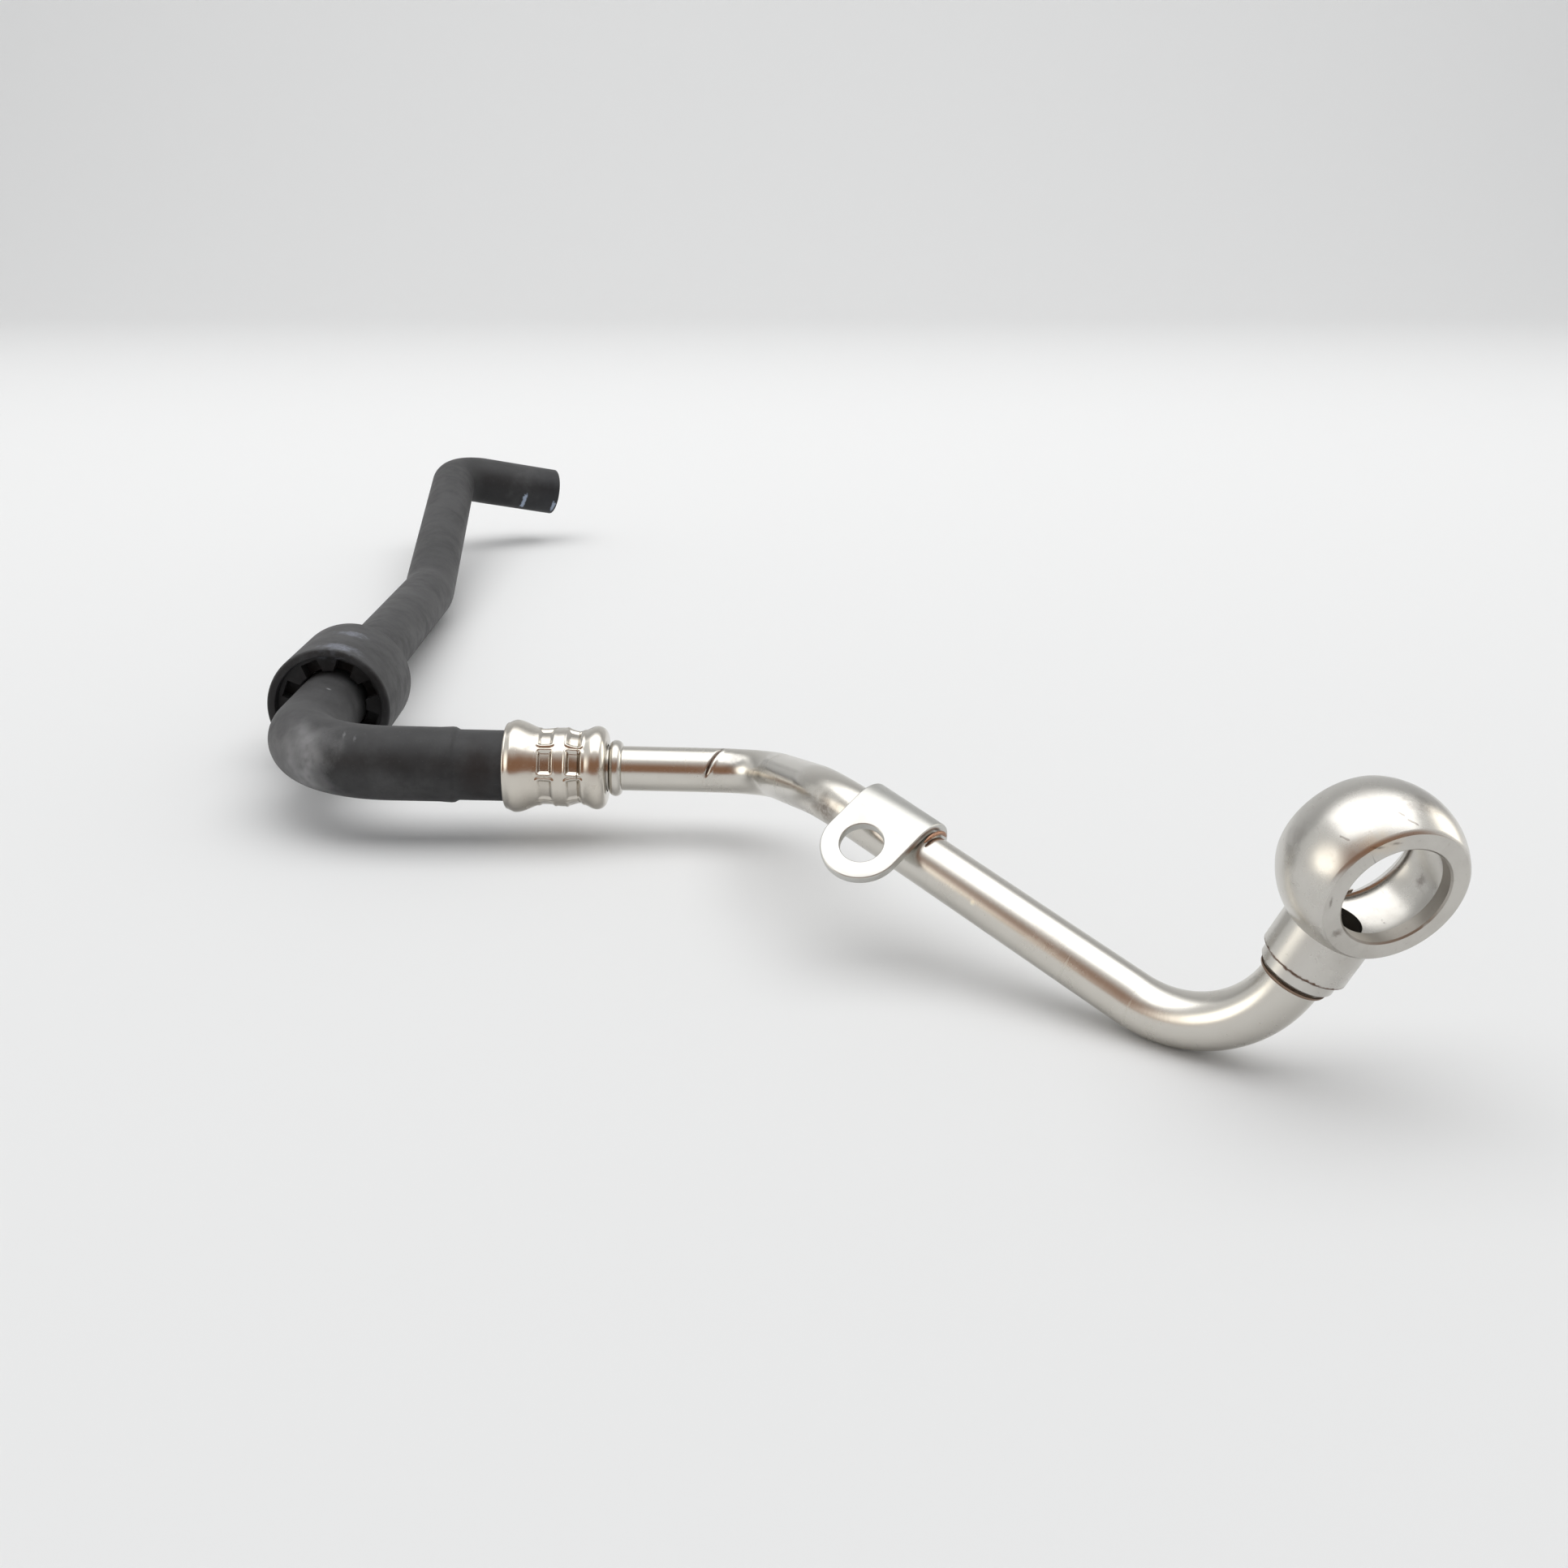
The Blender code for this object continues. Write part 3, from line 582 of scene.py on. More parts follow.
@dataclass(frozen=True)
class Stroke:
    """A thin mark that goes part of the way round an axis.

    Attributes:
        centre: middle of the mark in millimetres.
        axis: direction that it goes round.
        width: width of the mark in millimetres.
        reach: half its length in millimetres.
        tone: colour of the mark.
        strength: how much of it shows.
    """

    centre: tuple[float, float, float]
    axis: tuple[float, float, float]
    width: float
    reach: float
    tone: Colour
    strength: float


class Effects:
    """Shader node groups that more than one finish uses."""

    def __init__(self) -> None:
        """Build each group once."""
        self.blotch = self.make_blotch()
        self.spot = self.make_spot()
        self.stroke = self.make_stroke()
        self.streak = self.make_streak()
        self.rings = self.make_rings()

    @staticmethod
    def make_blotch() -> bpy.types.NodeTree:
        """Mask of cloudy patches."""
        tree = Tree("cloudy_patches", "ShaderNodeTree")
        place = tree.input("Vector", "NodeSocketVector")
        scale = tree.input("Scale", "NodeSocketFloat", 100.0)
        low = tree.input("From", "NodeSocketFloat", 0.45)
        high = tree.input("To", "NodeSocketFloat", 0.65)
        detail = tree.input("Detail", "NodeSocketFloat", 6.0)
        noise = tree.node(
            "ShaderNodeTexNoise", {"Vector": place, "Scale": scale, "Detail": detail, "Roughness": 0.6}
        )
        mask = tree.node(
            "ShaderNodeMapRange", {0: noise.outputs[0], 1: low, 2: high}, interpolation_type="SMOOTHSTEP"
        )
        tree.output("Mask", "NodeSocketFloat", mask.outputs[0])
        return tree.tree

    @staticmethod
    def make_spot() -> bpy.types.NodeTree:
        """Mask of one soft, mottled patch round a place."""
        tree = Tree("patch_at_place", "ShaderNodeTree")
        place = tree.input("Vector", "NodeSocketVector")
        centre = tree.input("Centre", "NodeSocketVector")
        size = tree.input("Size", "NodeSocketVector", (0.01, 0.01, 0.01))
        ragged = tree.input("Ragged", "NodeSocketFloat", 0.5)
        grain = tree.input("Grain", "NodeSocketFloat", 400.0)
        away = tree.vector("DIVIDE", tree.vector("SUBTRACT", place, centre).outputs[0], size).outputs[0]
        distance = tree.vector("LENGTH", away).outputs["Value"]
        noise = tree.node("ShaderNodeTexNoise", {"Vector": place, "Scale": grain, "Detail": 8.0, "Roughness": 0.65})
        swing = tree.maths("SUBTRACT", noise.outputs[0], 0.5)
        wobble = tree.maths("MULTIPLY", swing, tree.maths("MULTIPLY", ragged, 3.0))
        fade = tree.node(
            "ShaderNodeMapRange",
            {0: tree.maths("ADD", distance, wobble), 1: 0.1, 2: 1.0, 3: 1.0, 4: 0.0},
            interpolation_type="SMOOTHSTEP",
        )
        fine = tree.node(
            "ShaderNodeTexNoise",
            {"Vector": place, "Scale": tree.maths("MULTIPLY", grain, 4.0), "Detail": 6.0},
        )
        mottle = tree.node("ShaderNodeMapRange", {0: fine.outputs[0], 1: 0.3, 2: 0.7})
        thin = tree.maths("SUBTRACT", 1.0, tree.maths("MULTIPLY", ragged, tree.maths("SUBTRACT", 1.0, mottle.outputs[0])))
        tree.output("Mask", "NodeSocketFloat", tree.maths("MULTIPLY", fade.outputs[0], thin))
        return tree.tree

    @staticmethod
    def make_stroke() -> bpy.types.NodeTree:
        """Mask of a thin mark that goes part of the way round an axis."""
        tree = Tree("mark_round_axis", "ShaderNodeTree")
        place = tree.input("Vector", "NodeSocketVector")
        centre = tree.input("Centre", "NodeSocketVector")
        axis = tree.input("Axis", "NodeSocketVector", (0.0, 0.0, 1.0))
        width = tree.input("Width", "NodeSocketFloat", 0.001)
        reach = tree.input("Reach", "NodeSocketFloat", 0.005)
        away = tree.vector("SUBTRACT", place, centre).outputs[0]
        level = tree.maths("ABSOLUTE", tree.vector("DOT_PRODUCT", away, axis).outputs["Value"])
        distance = tree.vector("LENGTH", away).outputs["Value"]
        noise = tree.node("ShaderNodeTexNoise", {"Vector": place, "Scale": 1400.0, "Detail": 4.0})
        wobble = tree.maths("MULTIPLY", tree.maths("SUBTRACT", noise.outputs[0], 0.5), 0.9)
        across = tree.node(
            "ShaderNodeMapRange",
            {0: tree.maths("ADD", tree.maths("DIVIDE", level, width), wobble), 1: 0.25, 2: 0.6, 3: 1.0, 4: 0.0},
            interpolation_type="SMOOTHSTEP",
        )
        along = tree.node(
            "ShaderNodeMapRange",
            {0: tree.maths("ADD", tree.maths("DIVIDE", distance, reach), wobble), 1: 0.7, 2: 1.0, 3: 1.0, 4: 0.0},
            interpolation_type="SMOOTHSTEP",
        )
        tree.output("Mask", "NodeSocketFloat", tree.maths("MULTIPLY", across.outputs[0], along.outputs[0]))
        return tree.tree

    @staticmethod
    def make_streak() -> bpy.types.NodeTree:
        """Fine marks drawn out along the vector's X, and sparse deeper scratches."""
        tree = Tree("fine_streaks", "ShaderNodeTree")
        place = tree.input("Vector", "NodeSocketVector")
        scale = tree.input("Scale", "NodeSocketFloat", 2000.0)
        stretch = tree.input("Stretch", "NodeSocketFloat", 0.05)
        rare = tree.input("Rare", "NodeSocketFloat", 0.68)
        squeeze = tree.node("ShaderNodeCombineXYZ", {"X": stretch, "Y": 1.0, "Z": 1.0})
        drawn = tree.vector("MULTIPLY", place, squeeze.outputs[0]).outputs[0]
        fine = tree.node("ShaderNodeTexNoise", {"Vector": drawn, "Scale": scale, "Detail": 3.0})
        wide = tree.node(
            "ShaderNodeTexNoise",
            {"Vector": drawn, "Scale": tree.maths("MULTIPLY", scale, 0.35), "Detail": 2.0},
        )
        deep = tree.node(
            "ShaderNodeMapRange",
            {0: wide.outputs[0], 1: rare, 2: tree.maths("ADD", rare, 0.05)},
            interpolation_type="SMOOTHSTEP",
        )
        tree.output("Fine", "NodeSocketFloat", fine.outputs[0])
        tree.output("Scratch", "NodeSocketFloat", deep.outputs[0])
        return tree.tree

    @staticmethod
    def make_rings() -> bpy.types.NodeTree:
        """Tool marks that turning leaves round an axis, with the level along the axis."""
        tree = Tree("turning_marks", "ShaderNodeTree")
        place = tree.input("Vector", "NodeSocketVector")
        centre = tree.input("Centre", "NodeSocketVector")
        axis = tree.input("Axis", "NodeSocketVector", (0.0, 0.0, 1.0))
        pitch = tree.input("Pitch", "NodeSocketFloat", 0.0002)
        away = tree.vector("SUBTRACT", place, centre).outputs[0]
        level = tree.vector("DOT_PRODUCT", away, axis).outputs["Value"]
        lift = tree.node("ShaderNodeVectorMath", {0: axis, "Scale": level}, operation="SCALE").outputs[0]
        radius = tree.vector("LENGTH", tree.vector("SUBTRACT", away, lift).outputs[0]).outputs["Value"]
        spot = tree.node("ShaderNodeCombineXYZ", {"X": radius, "Y": level})
        scaled = tree.node(
            "ShaderNodeVectorMath",
            {0: spot.outputs[0], "Scale": tree.maths("DIVIDE", 1.0, pitch)},
            operation="SCALE",
        )
        noise = tree.node("ShaderNodeTexNoise", {"Vector": scaled.outputs[0], "Scale": 1.0, "Detail": 3.0})
        tree.output("Height", "NodeSocketFloat", noise.outputs[0])
        tree.output("Level", "NodeSocketFloat", level)
        tree.output("Radius", "NodeSocketFloat", radius)
        return tree.tree


class Material:
    """A Principled material under construction, on Object coordinates."""

    def __init__(self, name: str, effects: Effects) -> None:
        """Start a material with its shader."""
        self.effects = effects
        self.data = bpy.data.materials.new(name)
        self.data.use_nodes = True
        self.tree = self.data.node_tree
        self.shader = self.tree.nodes["Principled BSDF"]
        self.place = self.tree.nodes.new("ShaderNodeTexCoord").outputs["Object"]

    def group(self, tree: bpy.types.NodeTree, values: dict) -> bpy.types.Node:
        """Place a shared group with its own values."""
        made = self.tree.nodes.new("ShaderNodeGroup")
        made.node_tree = tree
        for key, value in values.items():
            if isinstance(value, bpy.types.NodeSocket):
                self.tree.links.new(value, made.inputs[key])
            else:
                made.inputs[key].default_value = value
        return made

    def maths(self, operation: str, *values: object) -> bpy.types.NodeSocket:
        """Result of one Math node on values or sockets."""
        return add_node(self.tree, "ShaderNodeMath", dict(enumerate(values)), operation=operation).outputs[0]

    def ranged(self, value: object, low: float, high: float, start: float, end: float) -> bpy.types.NodeSocket:
        """A value carried smoothly from one range to another."""
        values = {0: value, 1: low, 2: high, 3: start, 4: end}
        return add_node(self.tree, "ShaderNodeMapRange", values, interpolation_type="SMOOTHSTEP").outputs[0]

    def mix(self, under: object, over: object, mask: object) -> bpy.types.NodeSocket:
        """Lay one colour over another.

        Args:
            under: colour or socket below.
            over: colour or socket on top.
            mask: how much of the top one shows.

        Returns:
            The mixed colour.
        """
        values = {0: mask, 6: colour(under), 7: colour(over)}
        return add_node(self.tree, "ShaderNodeMix", values, data_type="RGBA").outputs[2]

    def blotch(self, scale: float, low: float, high: float, detail: float = 6.0) -> bpy.types.NodeSocket:
        """Mask of cloudy patches."""
        values = {"Vector": self.place, "Scale": scale, "From": low, "To": high, "Detail": detail}
        return self.group(self.effects.blotch, values).outputs[0]

    def spot_mask(self, spot: Spot) -> bpy.types.NodeSocket:
        """Mask of one patch, at its strength."""
        size = tuple(spot.reach * share * MM for share in spot.squash)
        values = {
            "Vector": self.place,
            "Centre": tuple(Vector(spot.centre) * MM),
            "Size": size,
            "Ragged": spot.ragged,
            "Grain": 2.2 / (spot.reach * MM),
        }
        mask = self.group(self.effects.spot, values).outputs[0]
        return self.maths("MULTIPLY", mask, spot.strength)

    def stroke_mask(self, stroke: Stroke) -> bpy.types.NodeSocket:
        """Mask of one stroke, at its strength."""
        values = {
            "Vector": self.place,
            "Centre": tuple(Vector(stroke.centre) * MM),
            "Axis": tuple(Vector(stroke.axis).normalized()),
            "Width": stroke.width * MM,
            "Reach": stroke.reach * MM,
        }
        mask = self.group(self.effects.stroke, values).outputs[0]
        return self.maths("MULTIPLY", mask, stroke.strength)

    def marked(self, under: object, spots: tuple[Spot, ...], strokes: tuple[Stroke, ...]) -> object:
        """A colour with patches and strokes laid over it."""
        for spot in spots:
            under = self.mix(under, spot.tone, self.spot_mask(spot))
        for stroke in strokes:
            under = self.mix(under, stroke.tone, self.stroke_mask(stroke))
        return under

    def feed(self, name: str, source: bpy.types.NodeSocket) -> None:
        """Link a socket to the shader."""
        self.tree.links.new(source, self.shader.inputs[name])

    def bump(self, height: bpy.types.NodeSocket, depth: float) -> None:
        """Feed the shader's normal from a height.

        Args:
            height: height in units of the depth.
            depth: metres from the lowest to the highest point.
        """
        made = add_node(self.tree, "ShaderNodeBump", {"Strength": 1.0, "Distance": depth, "Height": height})
        self.feed("Normal", made.outputs[0])


def colour(value: object) -> object:
    """A colour with its alpha, or the socket as it is."""
    if isinstance(value, bpy.types.NodeSocket):
        return value
    return (*value, 1.0)


@dataclass(frozen=True)
class RubberFinish:
    """Moulded rubber: fine grain, dusty clouds, lighter rubbed places, and upward faces lighter from settled dust and a
    painted top sheen.
    """

    name: str
    base: Colour
    dust: Colour
    dusty: float
    roughness: float
    spots: tuple[Spot, ...] = ()
    strokes: tuple[Stroke, ...] = ()
    grain: float = 1700.0
    grain_depth: float = 0.014 * MM
    # settled: how much lighter the upward faces are, partly settled dust and partly a painted sheen of the light from
    # above
    settled: float = 0.2

    def build(self, effects: Effects) -> bpy.types.Material:
        """Make the material.

        Args:
            effects: the shared groups.

        Returns:
            The finished material.
        """
        made = Material(self.name, effects)
        clouds = made.blotch(55.0, 0.42, 0.66)
        film = made.blotch(260.0, 0.25, 0.8, 10.0)
        specks = made.blotch(2300.0, 0.64, 0.74, 2.0)
        # upward faces are lightened in the colour: settled dust and a painted top sheen
        normal = add_node(made.tree, "ShaderNodeNewGeometry").outputs["Normal"]
        upward = add_node(made.tree, "ShaderNodeSeparateXYZ", {0: normal}).outputs[2]
        top_dust_and_sheen = made.maths("MULTIPLY", made.maths("MAXIMUM", upward, 0.0), self.settled)
        amount = made.maths("MULTIPLY", made.maths("ADD", clouds, 0.35), made.maths("ADD", film, 0.25))
        amount = made.maths("ADD", made.maths("MULTIPLY", amount, 0.42), top_dust_and_sheen)
        amount = made.maths("ADD", amount, made.maths("MULTIPLY", specks, 0.22))
        tone = made.mix(self.base, self.dust, made.maths("MULTIPLY", amount, self.dusty))
        made.feed("Base Color", made.marked(tone, self.spots, self.strokes))
        made.feed("Roughness", made.ranged(film, 0.0, 1.0, self.roughness - 0.06, self.roughness + 0.12))
        noise = add_node(
            made.tree, "ShaderNodeTexNoise", {"Vector": made.place, "Scale": self.grain, "Detail": 4.0}
        )
        made.bump(noise.outputs[0], self.grain_depth)
        made.shader.inputs["Specular IOR Level"].default_value = 0.32
        made.shader.inputs["Sheen Weight"].default_value = 0.03
        made.shader.inputs["Sheen Roughness"].default_value = 0.5
        return made.data


@dataclass(frozen=True)
class MetalFinish:
    """Bright steel or braze with fine marks, stains and handling scratches.

    Attributes:
        face_level: distance from the centre along the axis past which faces are duller.
        bore_radius: radius under which the inside of a bore is painted darker, a painted shade in the bore.
        dark_mark: attribute that says where the metal is pressed or cut and dark.
    """

    name: str
    base: Colour
    stain: Colour
    stained: float
    roughness: float
    pattern: Pattern
    mark_depth: float
    spots: tuple[Spot, ...] = ()
    strokes: tuple[Stroke, ...] = ()
    centre: Vector = Vector((0.0, 0.0, 0.0))
    axis: Vector = Vector((0.0, 0.0, 1.0))
    pitch: float = 0.16 * MM
    scratched: float = 0.25
    face_level: float = 1.0
    face_dull: float = 0.0
    bore_radius: float = 0.0
    bore_painted_shade: float = 0.0
    dark_mark: str = ""
    dark_share: float = 1.0

    def build(self, effects: Effects) -> bpy.types.Material:
        """Make the material.

        Args:
            effects: the shared groups.

        Returns:
            The finished material.
        """
        made = Material(self.name, effects)
        frame = add_node(
            made.tree,
            "ShaderNodeMapping",
            {"Vector": made.place, "Rotation": self.turn()},
            vector_type="TEXTURE",
        ).outputs[0]
        stretch = 0.3
        if self.pattern is Pattern.DRAWN:
            along = add_node(made.tree, "ShaderNodeAttribute", attribute_name="along").outputs["Fac"]
            level = add_node(made.tree, "ShaderNodeCombineXYZ", {"Y": along}).outputs[0]
            little = add_node(made.tree, "ShaderNodeVectorMath", {0: made.place, "Scale": 0.09}, operation="SCALE")
            frame = add_node(made.tree, "ShaderNodeVectorMath", {0: little.outputs[0], 1: level}).outputs[0]
            stretch = 1.0
        marks = made.group(effects.streak, {"Vector": frame, "Scale": 3200.0, "Stretch": stretch, "Rare": 0.66})
        height = marks.outputs["Fine"]
        dull_face_and_bore_shade = 0.0
        if self.pattern is Pattern.TURNED:
            rings = made.group(
                effects.rings,
                {"Vector": made.place, "Centre": self.centre, "Axis": self.axis, "Pitch": self.pitch},
            )
            level = made.maths("ABSOLUTE", rings.outputs["Level"])
            dull_face_and_bore_shade = made.ranged(level, self.face_level - 0.1 * MM, self.face_level, 0.0, self.face_dull)
            rough = made.maths("ADD", 1.0, made.maths("MULTIPLY", dull_face_and_bore_shade, 3.0))
            turned = made.maths("MULTIPLY", rings.outputs["Height"], rough)
            # painted shade: the bore and its lands are darkened in colour as if in shadow
            if self.bore_radius:
                reach = (self.bore_radius, self.bore_radius + 0.15 * MM)
                inside = made.ranged(rings.outputs["Radius"], *reach, self.bore_painted_shade, 0.0)
                dull_face_and_bore_shade = made.maths("MAXIMUM", dull_face_and_bore_shade, inside)
            height = made.maths("ADD", made.maths("MULTIPLY", height, 0.35), turned)
        scratch = made.maths("MULTIPLY", marks.outputs["Scratch"], self.scratched)
        clouds = made.blotch(120.0, 0.42, 0.78)
        specks = made.blotch(1500.0, 0.64, 0.73, 3.0)
        amount = made.maths("ADD", made.maths("MULTIPLY", clouds, 0.6), made.maths("MULTIPLY", specks, 0.35))
        amount = made.maths("ADD", made.maths("ADD", amount, scratch), dull_face_and_bore_shade)
        tone = made.mix(self.base, self.stain, made.maths("MULTIPLY", amount, self.stained))
        tone = made.marked(tone, self.spots, self.strokes)
        if self.dark_mark:
            mark = add_node(made.tree, "ShaderNodeAttribute", attribute_name=self.dark_mark).outputs["Fac"]
            tone = made.mix(tone, (0.07, 0.035, 0.02), made.maths("MULTIPLY", mark, self.dark_share))
        made.feed("Base Color", tone)
        made.feed("Roughness", made.ranged(amount, 0.0, 1.0, self.roughness, self.roughness + 0.16))
        made.shader.inputs["Metallic"].default_value = 1.0
        made.bump(made.maths("SUBTRACT", height, scratch), self.mark_depth)
        return made.data

    def turn(self) -> tuple[float, float, float]:
        """Rotation that lays the marks' X along the axis."""
        return tuple(Vector((1.0, 0.0, 0.0)).rotation_difference(self.axis).to_euler())


@dataclass
class Kit:
    """What every sub-assembly is built with."""

    line: Line
    effects: Effects
    sweep: bpy.types.NodeTree
    windows: bpy.types.NodeTree
    pads: bpy.types.NodeTree

    def swept(
        self, name: str, stations: list[Station], sides: int, material: bpy.types.Material
    ) -> bpy.types.Object:
        """Sweep a round section along stations with the Geometry Nodes tree.

        Args:
            name: name of the piece.
            stations: (point, radius) along the route.
            sides: faces round the section.
            material: its material.

        Returns:
            The swept piece, closed at both ends.
        """
        curve = bpy.data.curves.new(name, "CURVE")
        curve.dimensions = "3D"
        spline = curve.splines.new("POLY")
        spline.points.add(len(stations) - 1)
        for knot, (point, radius) in zip(spline.points, stations):
            knot.co = (*point, 1.0)
            knot.radius = radius
        route = linked(name + "_route", curve)
        apply_tree(route, self.sweep, {"Sides": sides, "Material": material})
        piece = settled(route, name, Matrix.Identity(4))
        merged(piece.data)
        return piece

    def placed(self, piece: bpy.types.Object, slot: Slot, *nodes: str) -> None:
        """Let a finished piece ride on the line and stand for its solids."""
        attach(piece, BODY)
        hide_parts(*nodes)
        piece.data.update()
        LOG.info("%s: %d faces, stands for %s", piece.name, len(piece.data.polygons), ", ".join(nodes))


@dataclass
class Ferrule:
    """Crimped sleeve over the hose end, measured back from the face that meets the bead."""

    length: float = 18.1 * MM
    marks: tuple[tuple[float, float], ...] = (
        (1.8 * MM, 15.0 * MM),
        (4.9 * MM, 13.0 * MM),
        (7.6 * MM, 14.2 * MM),
        (11.2 * MM, 13.6 * MM),
        (16.3 * MM, 16.6 * MM),
        (18.1 * MM, 15.4 * MM),
    )
    wall: float = 1.0 * MM
    edge: float = 0.45 * MM
    hose_od: float = 12.7 * MM
    tube_od: float = 8.0 * MM
    play: float = 0.3 * MM
    pad_rows: tuple[float, ...] = (10.6 * MM, 5.6 * MM)
    pads: int = 8
    pad_length: float = 1.9 * MM
    pad_width: float = 3.7 * MM
    pad_depth: float = 0.42 * MM
    pad_swell: float = 0.24 * MM
    pad_faint: float = 0.55
    steps: int = 352
    blend_steps: int = 26

    def radius(self, back: float) -> float:
        """Outer radius at a distance back from the bead face."""
        if back <= self.marks[0][0]:
            return self.marks[0][1] / 2
        for (near, near_od), (far, far_od) in zip(self.marks, self.marks[1:]):
            if back <= far:
                share = (1 - math.cos(math.pi * (back - near) / (far - near))) / 2
                return (near_od + (far_od - near_od) * share) / 2
        return self.marks[-1][1] / 2

    def inner_radius(self, back: float) -> float:
        """Inner radius, which never stands off the skived hose."""
        return min(self.hose_od / 2 + self.play, self.radius(back) - self.wall)

    def outline(self) -> list[tuple[float, float]]:
        """Closed section of the sleeve, from the bead face round to its inside."""
        end_at, end_od = self.marks[0]
        points = [(self.tube_od / 2 + self.play, 0.0)]
        shoulder = end_od / 2 - end_at
        rounds = 10
        for i in range(rounds):
            angle = math.pi / 2 * (1 - i / rounds)
            points.append((shoulder + end_at * math.cos(angle), end_at * (math.sin(angle) - 1)))
        for (near, _), (far, _) in zip(self.marks, self.marks[1:]):
            points += [
                (self.radius(near + (far - near) * i / self.blend_steps), -near - (far - near) * i / self.blend_steps)
                for i in range(self.blend_steps)
                if near + (far - near) * i / self.blend_steps < self.length - self.edge
            ]
        lip = self.radius(self.length - self.edge)
        inner = self.inner_radius(self.length)
        for i in range(6):
            angle = math.pi / 2 * i / 5
            points.append((lip - self.edge * (1 - math.cos(angle)), self.edge * (1 - math.sin(angle)) - self.length))
        for i in range(4):
            angle = math.pi / 2 * i / 3
            rise = self.edge / 2
            points.append((inner + rise * (1 - math.sin(angle)), rise * (1 - math.cos(angle)) - self.length))
        for (near, _), (far, _) in reversed(list(zip(self.marks, self.marks[1:]))):
            backs = [far - (far - near) * i / 4 for i in range(4)]
            points += [(self.inner_radius(back), -back) for back in backs if back < self.length - self.edge]
        floor = end_at - self.play
        points.append((self.inner_radius(end_at), -floor))
        points.append((self.tube_od / 2 + self.play, -floor))
        return points

    def build(self, kit: Kit, material: bpy.types.Material) -> None:
        """Turn the sleeve, press its pads and put it in place."""
        piece = linked("ferrule_blank", turned_mesh("ferrule_blank", self.outline(), self.steps, True))
        for back in self.pad_rows:
            apply_tree(
                piece,
                kit.pads,
                {
                    "Count": float(self.pads),
                    "Height": -back,
                    "Length": self.pad_length,
                    "Width": self.pad_width,
                    "Depth": self.pad_depth,
                    "Swell": self.pad_swell,
                    "Edge": 0.5 * MM,
                    "Inside": self.hose_od / 2 + self.play / 2,
                    "Faint": self.pad_faint,
                    "Material": material,
                },
            )
        axis = kit.line.crimp_point(1.0) - kit.line.crimp_point(0.0)
        place = standing_on(kit.line.crimp_point(0.0), axis, Vector((0.0, -0.9, 0.44)))
        kit.placed(settled(piece, "crimped_ferrule", place, 50.0), Slot.FERRULE, "ferrule")


@dataclass
class Hose:
    """Moulded hose with its skived, crimped end and open cut end."""

    ferrule: Ferrule
    outer: float = 13.4 * MM
    end_outer: float = 14.8 * MM
    bore: float = 7.6 * MM
    skived: float = 12.7 * MM
    skive_length: float = 8.3 * MM
    skive_step: float = 0.9 * MM
    skive_ridge: float = 0.12 * MM
    mouth_depth: float = 30.0 * MM
    sides: int = 120
    step: float = 1.2 * MM
    mouth_edge: float = 0.35 * MM

    def stations(self, line: Line) -> list[Station]:
        """Points and radii of the outside, from the free end to the crimp."""
        wide = self.outer / 2
        swell = self.end_outer / 2 - wide
        far = line.bend(line.free_end, line.far, line.rest, line.hose_far_bend)
        skive_end = -(self.ferrule.length + self.skive_length)
        lead = (line.free_end - line.hose_bends()[0]).normalized()
        made: list[Station] = []
        for i in range(5):
            angle = math.pi / 2 * i / 4
            inset = self.mouth_edge * (1 - math.sin(angle))
            made.append((line.free_end - lead * (self.mouth_edge - self.mouth_edge * math.cos(angle)), wide + swell - inset))
        made += [(point, wide + swell * (1 - i / (len(far) - 1))) for i, point in enumerate(far)]
        made += [(point, wide) for point in line.hose_bends()[len(far) :]]
        made.append((line.crimp_point(skive_end - 4 * self.skive_step), wide))
        made.append((line.crimp_point(skive_end - 1.6 * self.skive_step), wide + self.skive_ridge))
        made.append((line.crimp_point(skive_end - self.skive_step), wide + self.skive_ridge * 0.6))
        for i in range(1, 5):
            share = i / 4
            blend = (1 - math.cos(math.pi * share)) / 2
            radius = wide + (self.skived / 2 - wide) * blend
            made.append((line.crimp_point(skive_end - self.skive_step * (1 - share)), radius))
        back = self.ferrule.length
        end = self.ferrule.marks[0][0]
        steps = 24
        for i in range(steps + 1):
            at = back + (end - back) * i / steps
            made.append((line.crimp_point(-at), self.ferrule.inner_radius(at) - self.ferrule.play))
        return made

    def build(self, kit: Kit, material: bpy.types.Material) -> None:
        """Sweep the hose, bore its mouth and put it in place."""
        line = kit.line
        piece = kit.swept("rubber_hose_skin", spaced(self.stations(line), self.step), self.sides, material)
        lead = (line.free_end - line.hose_bends()[0]).normalized()
        narrow = self.bore / 2
        inside = [(line.free_end + lead * MM, narrow)] + [(point, narrow) for point in line.hose_bends()]
        tube_end = -(self.ferrule.length + 1.7 * MM)
        inside.append((line.crimp_point(tube_end - self.ferrule.play), narrow))
        grip = self.ferrule.tube_od / 2 + 0.45 * MM
        inside.append((line.crimp_point(tube_end), grip))
        inside.append((line.crimp_point(MM), grip))
        bore = kit.swept("hose_bore", inside, self.sides // 2, material)
        boolean(piece, bore, "DIFFERENCE")
        finished = settled(piece, "moulded_hose", Matrix.Identity(4), 35.0)
        dropped(bore)
        kit.placed(finished, Slot.HOSE, "rubber_hose")


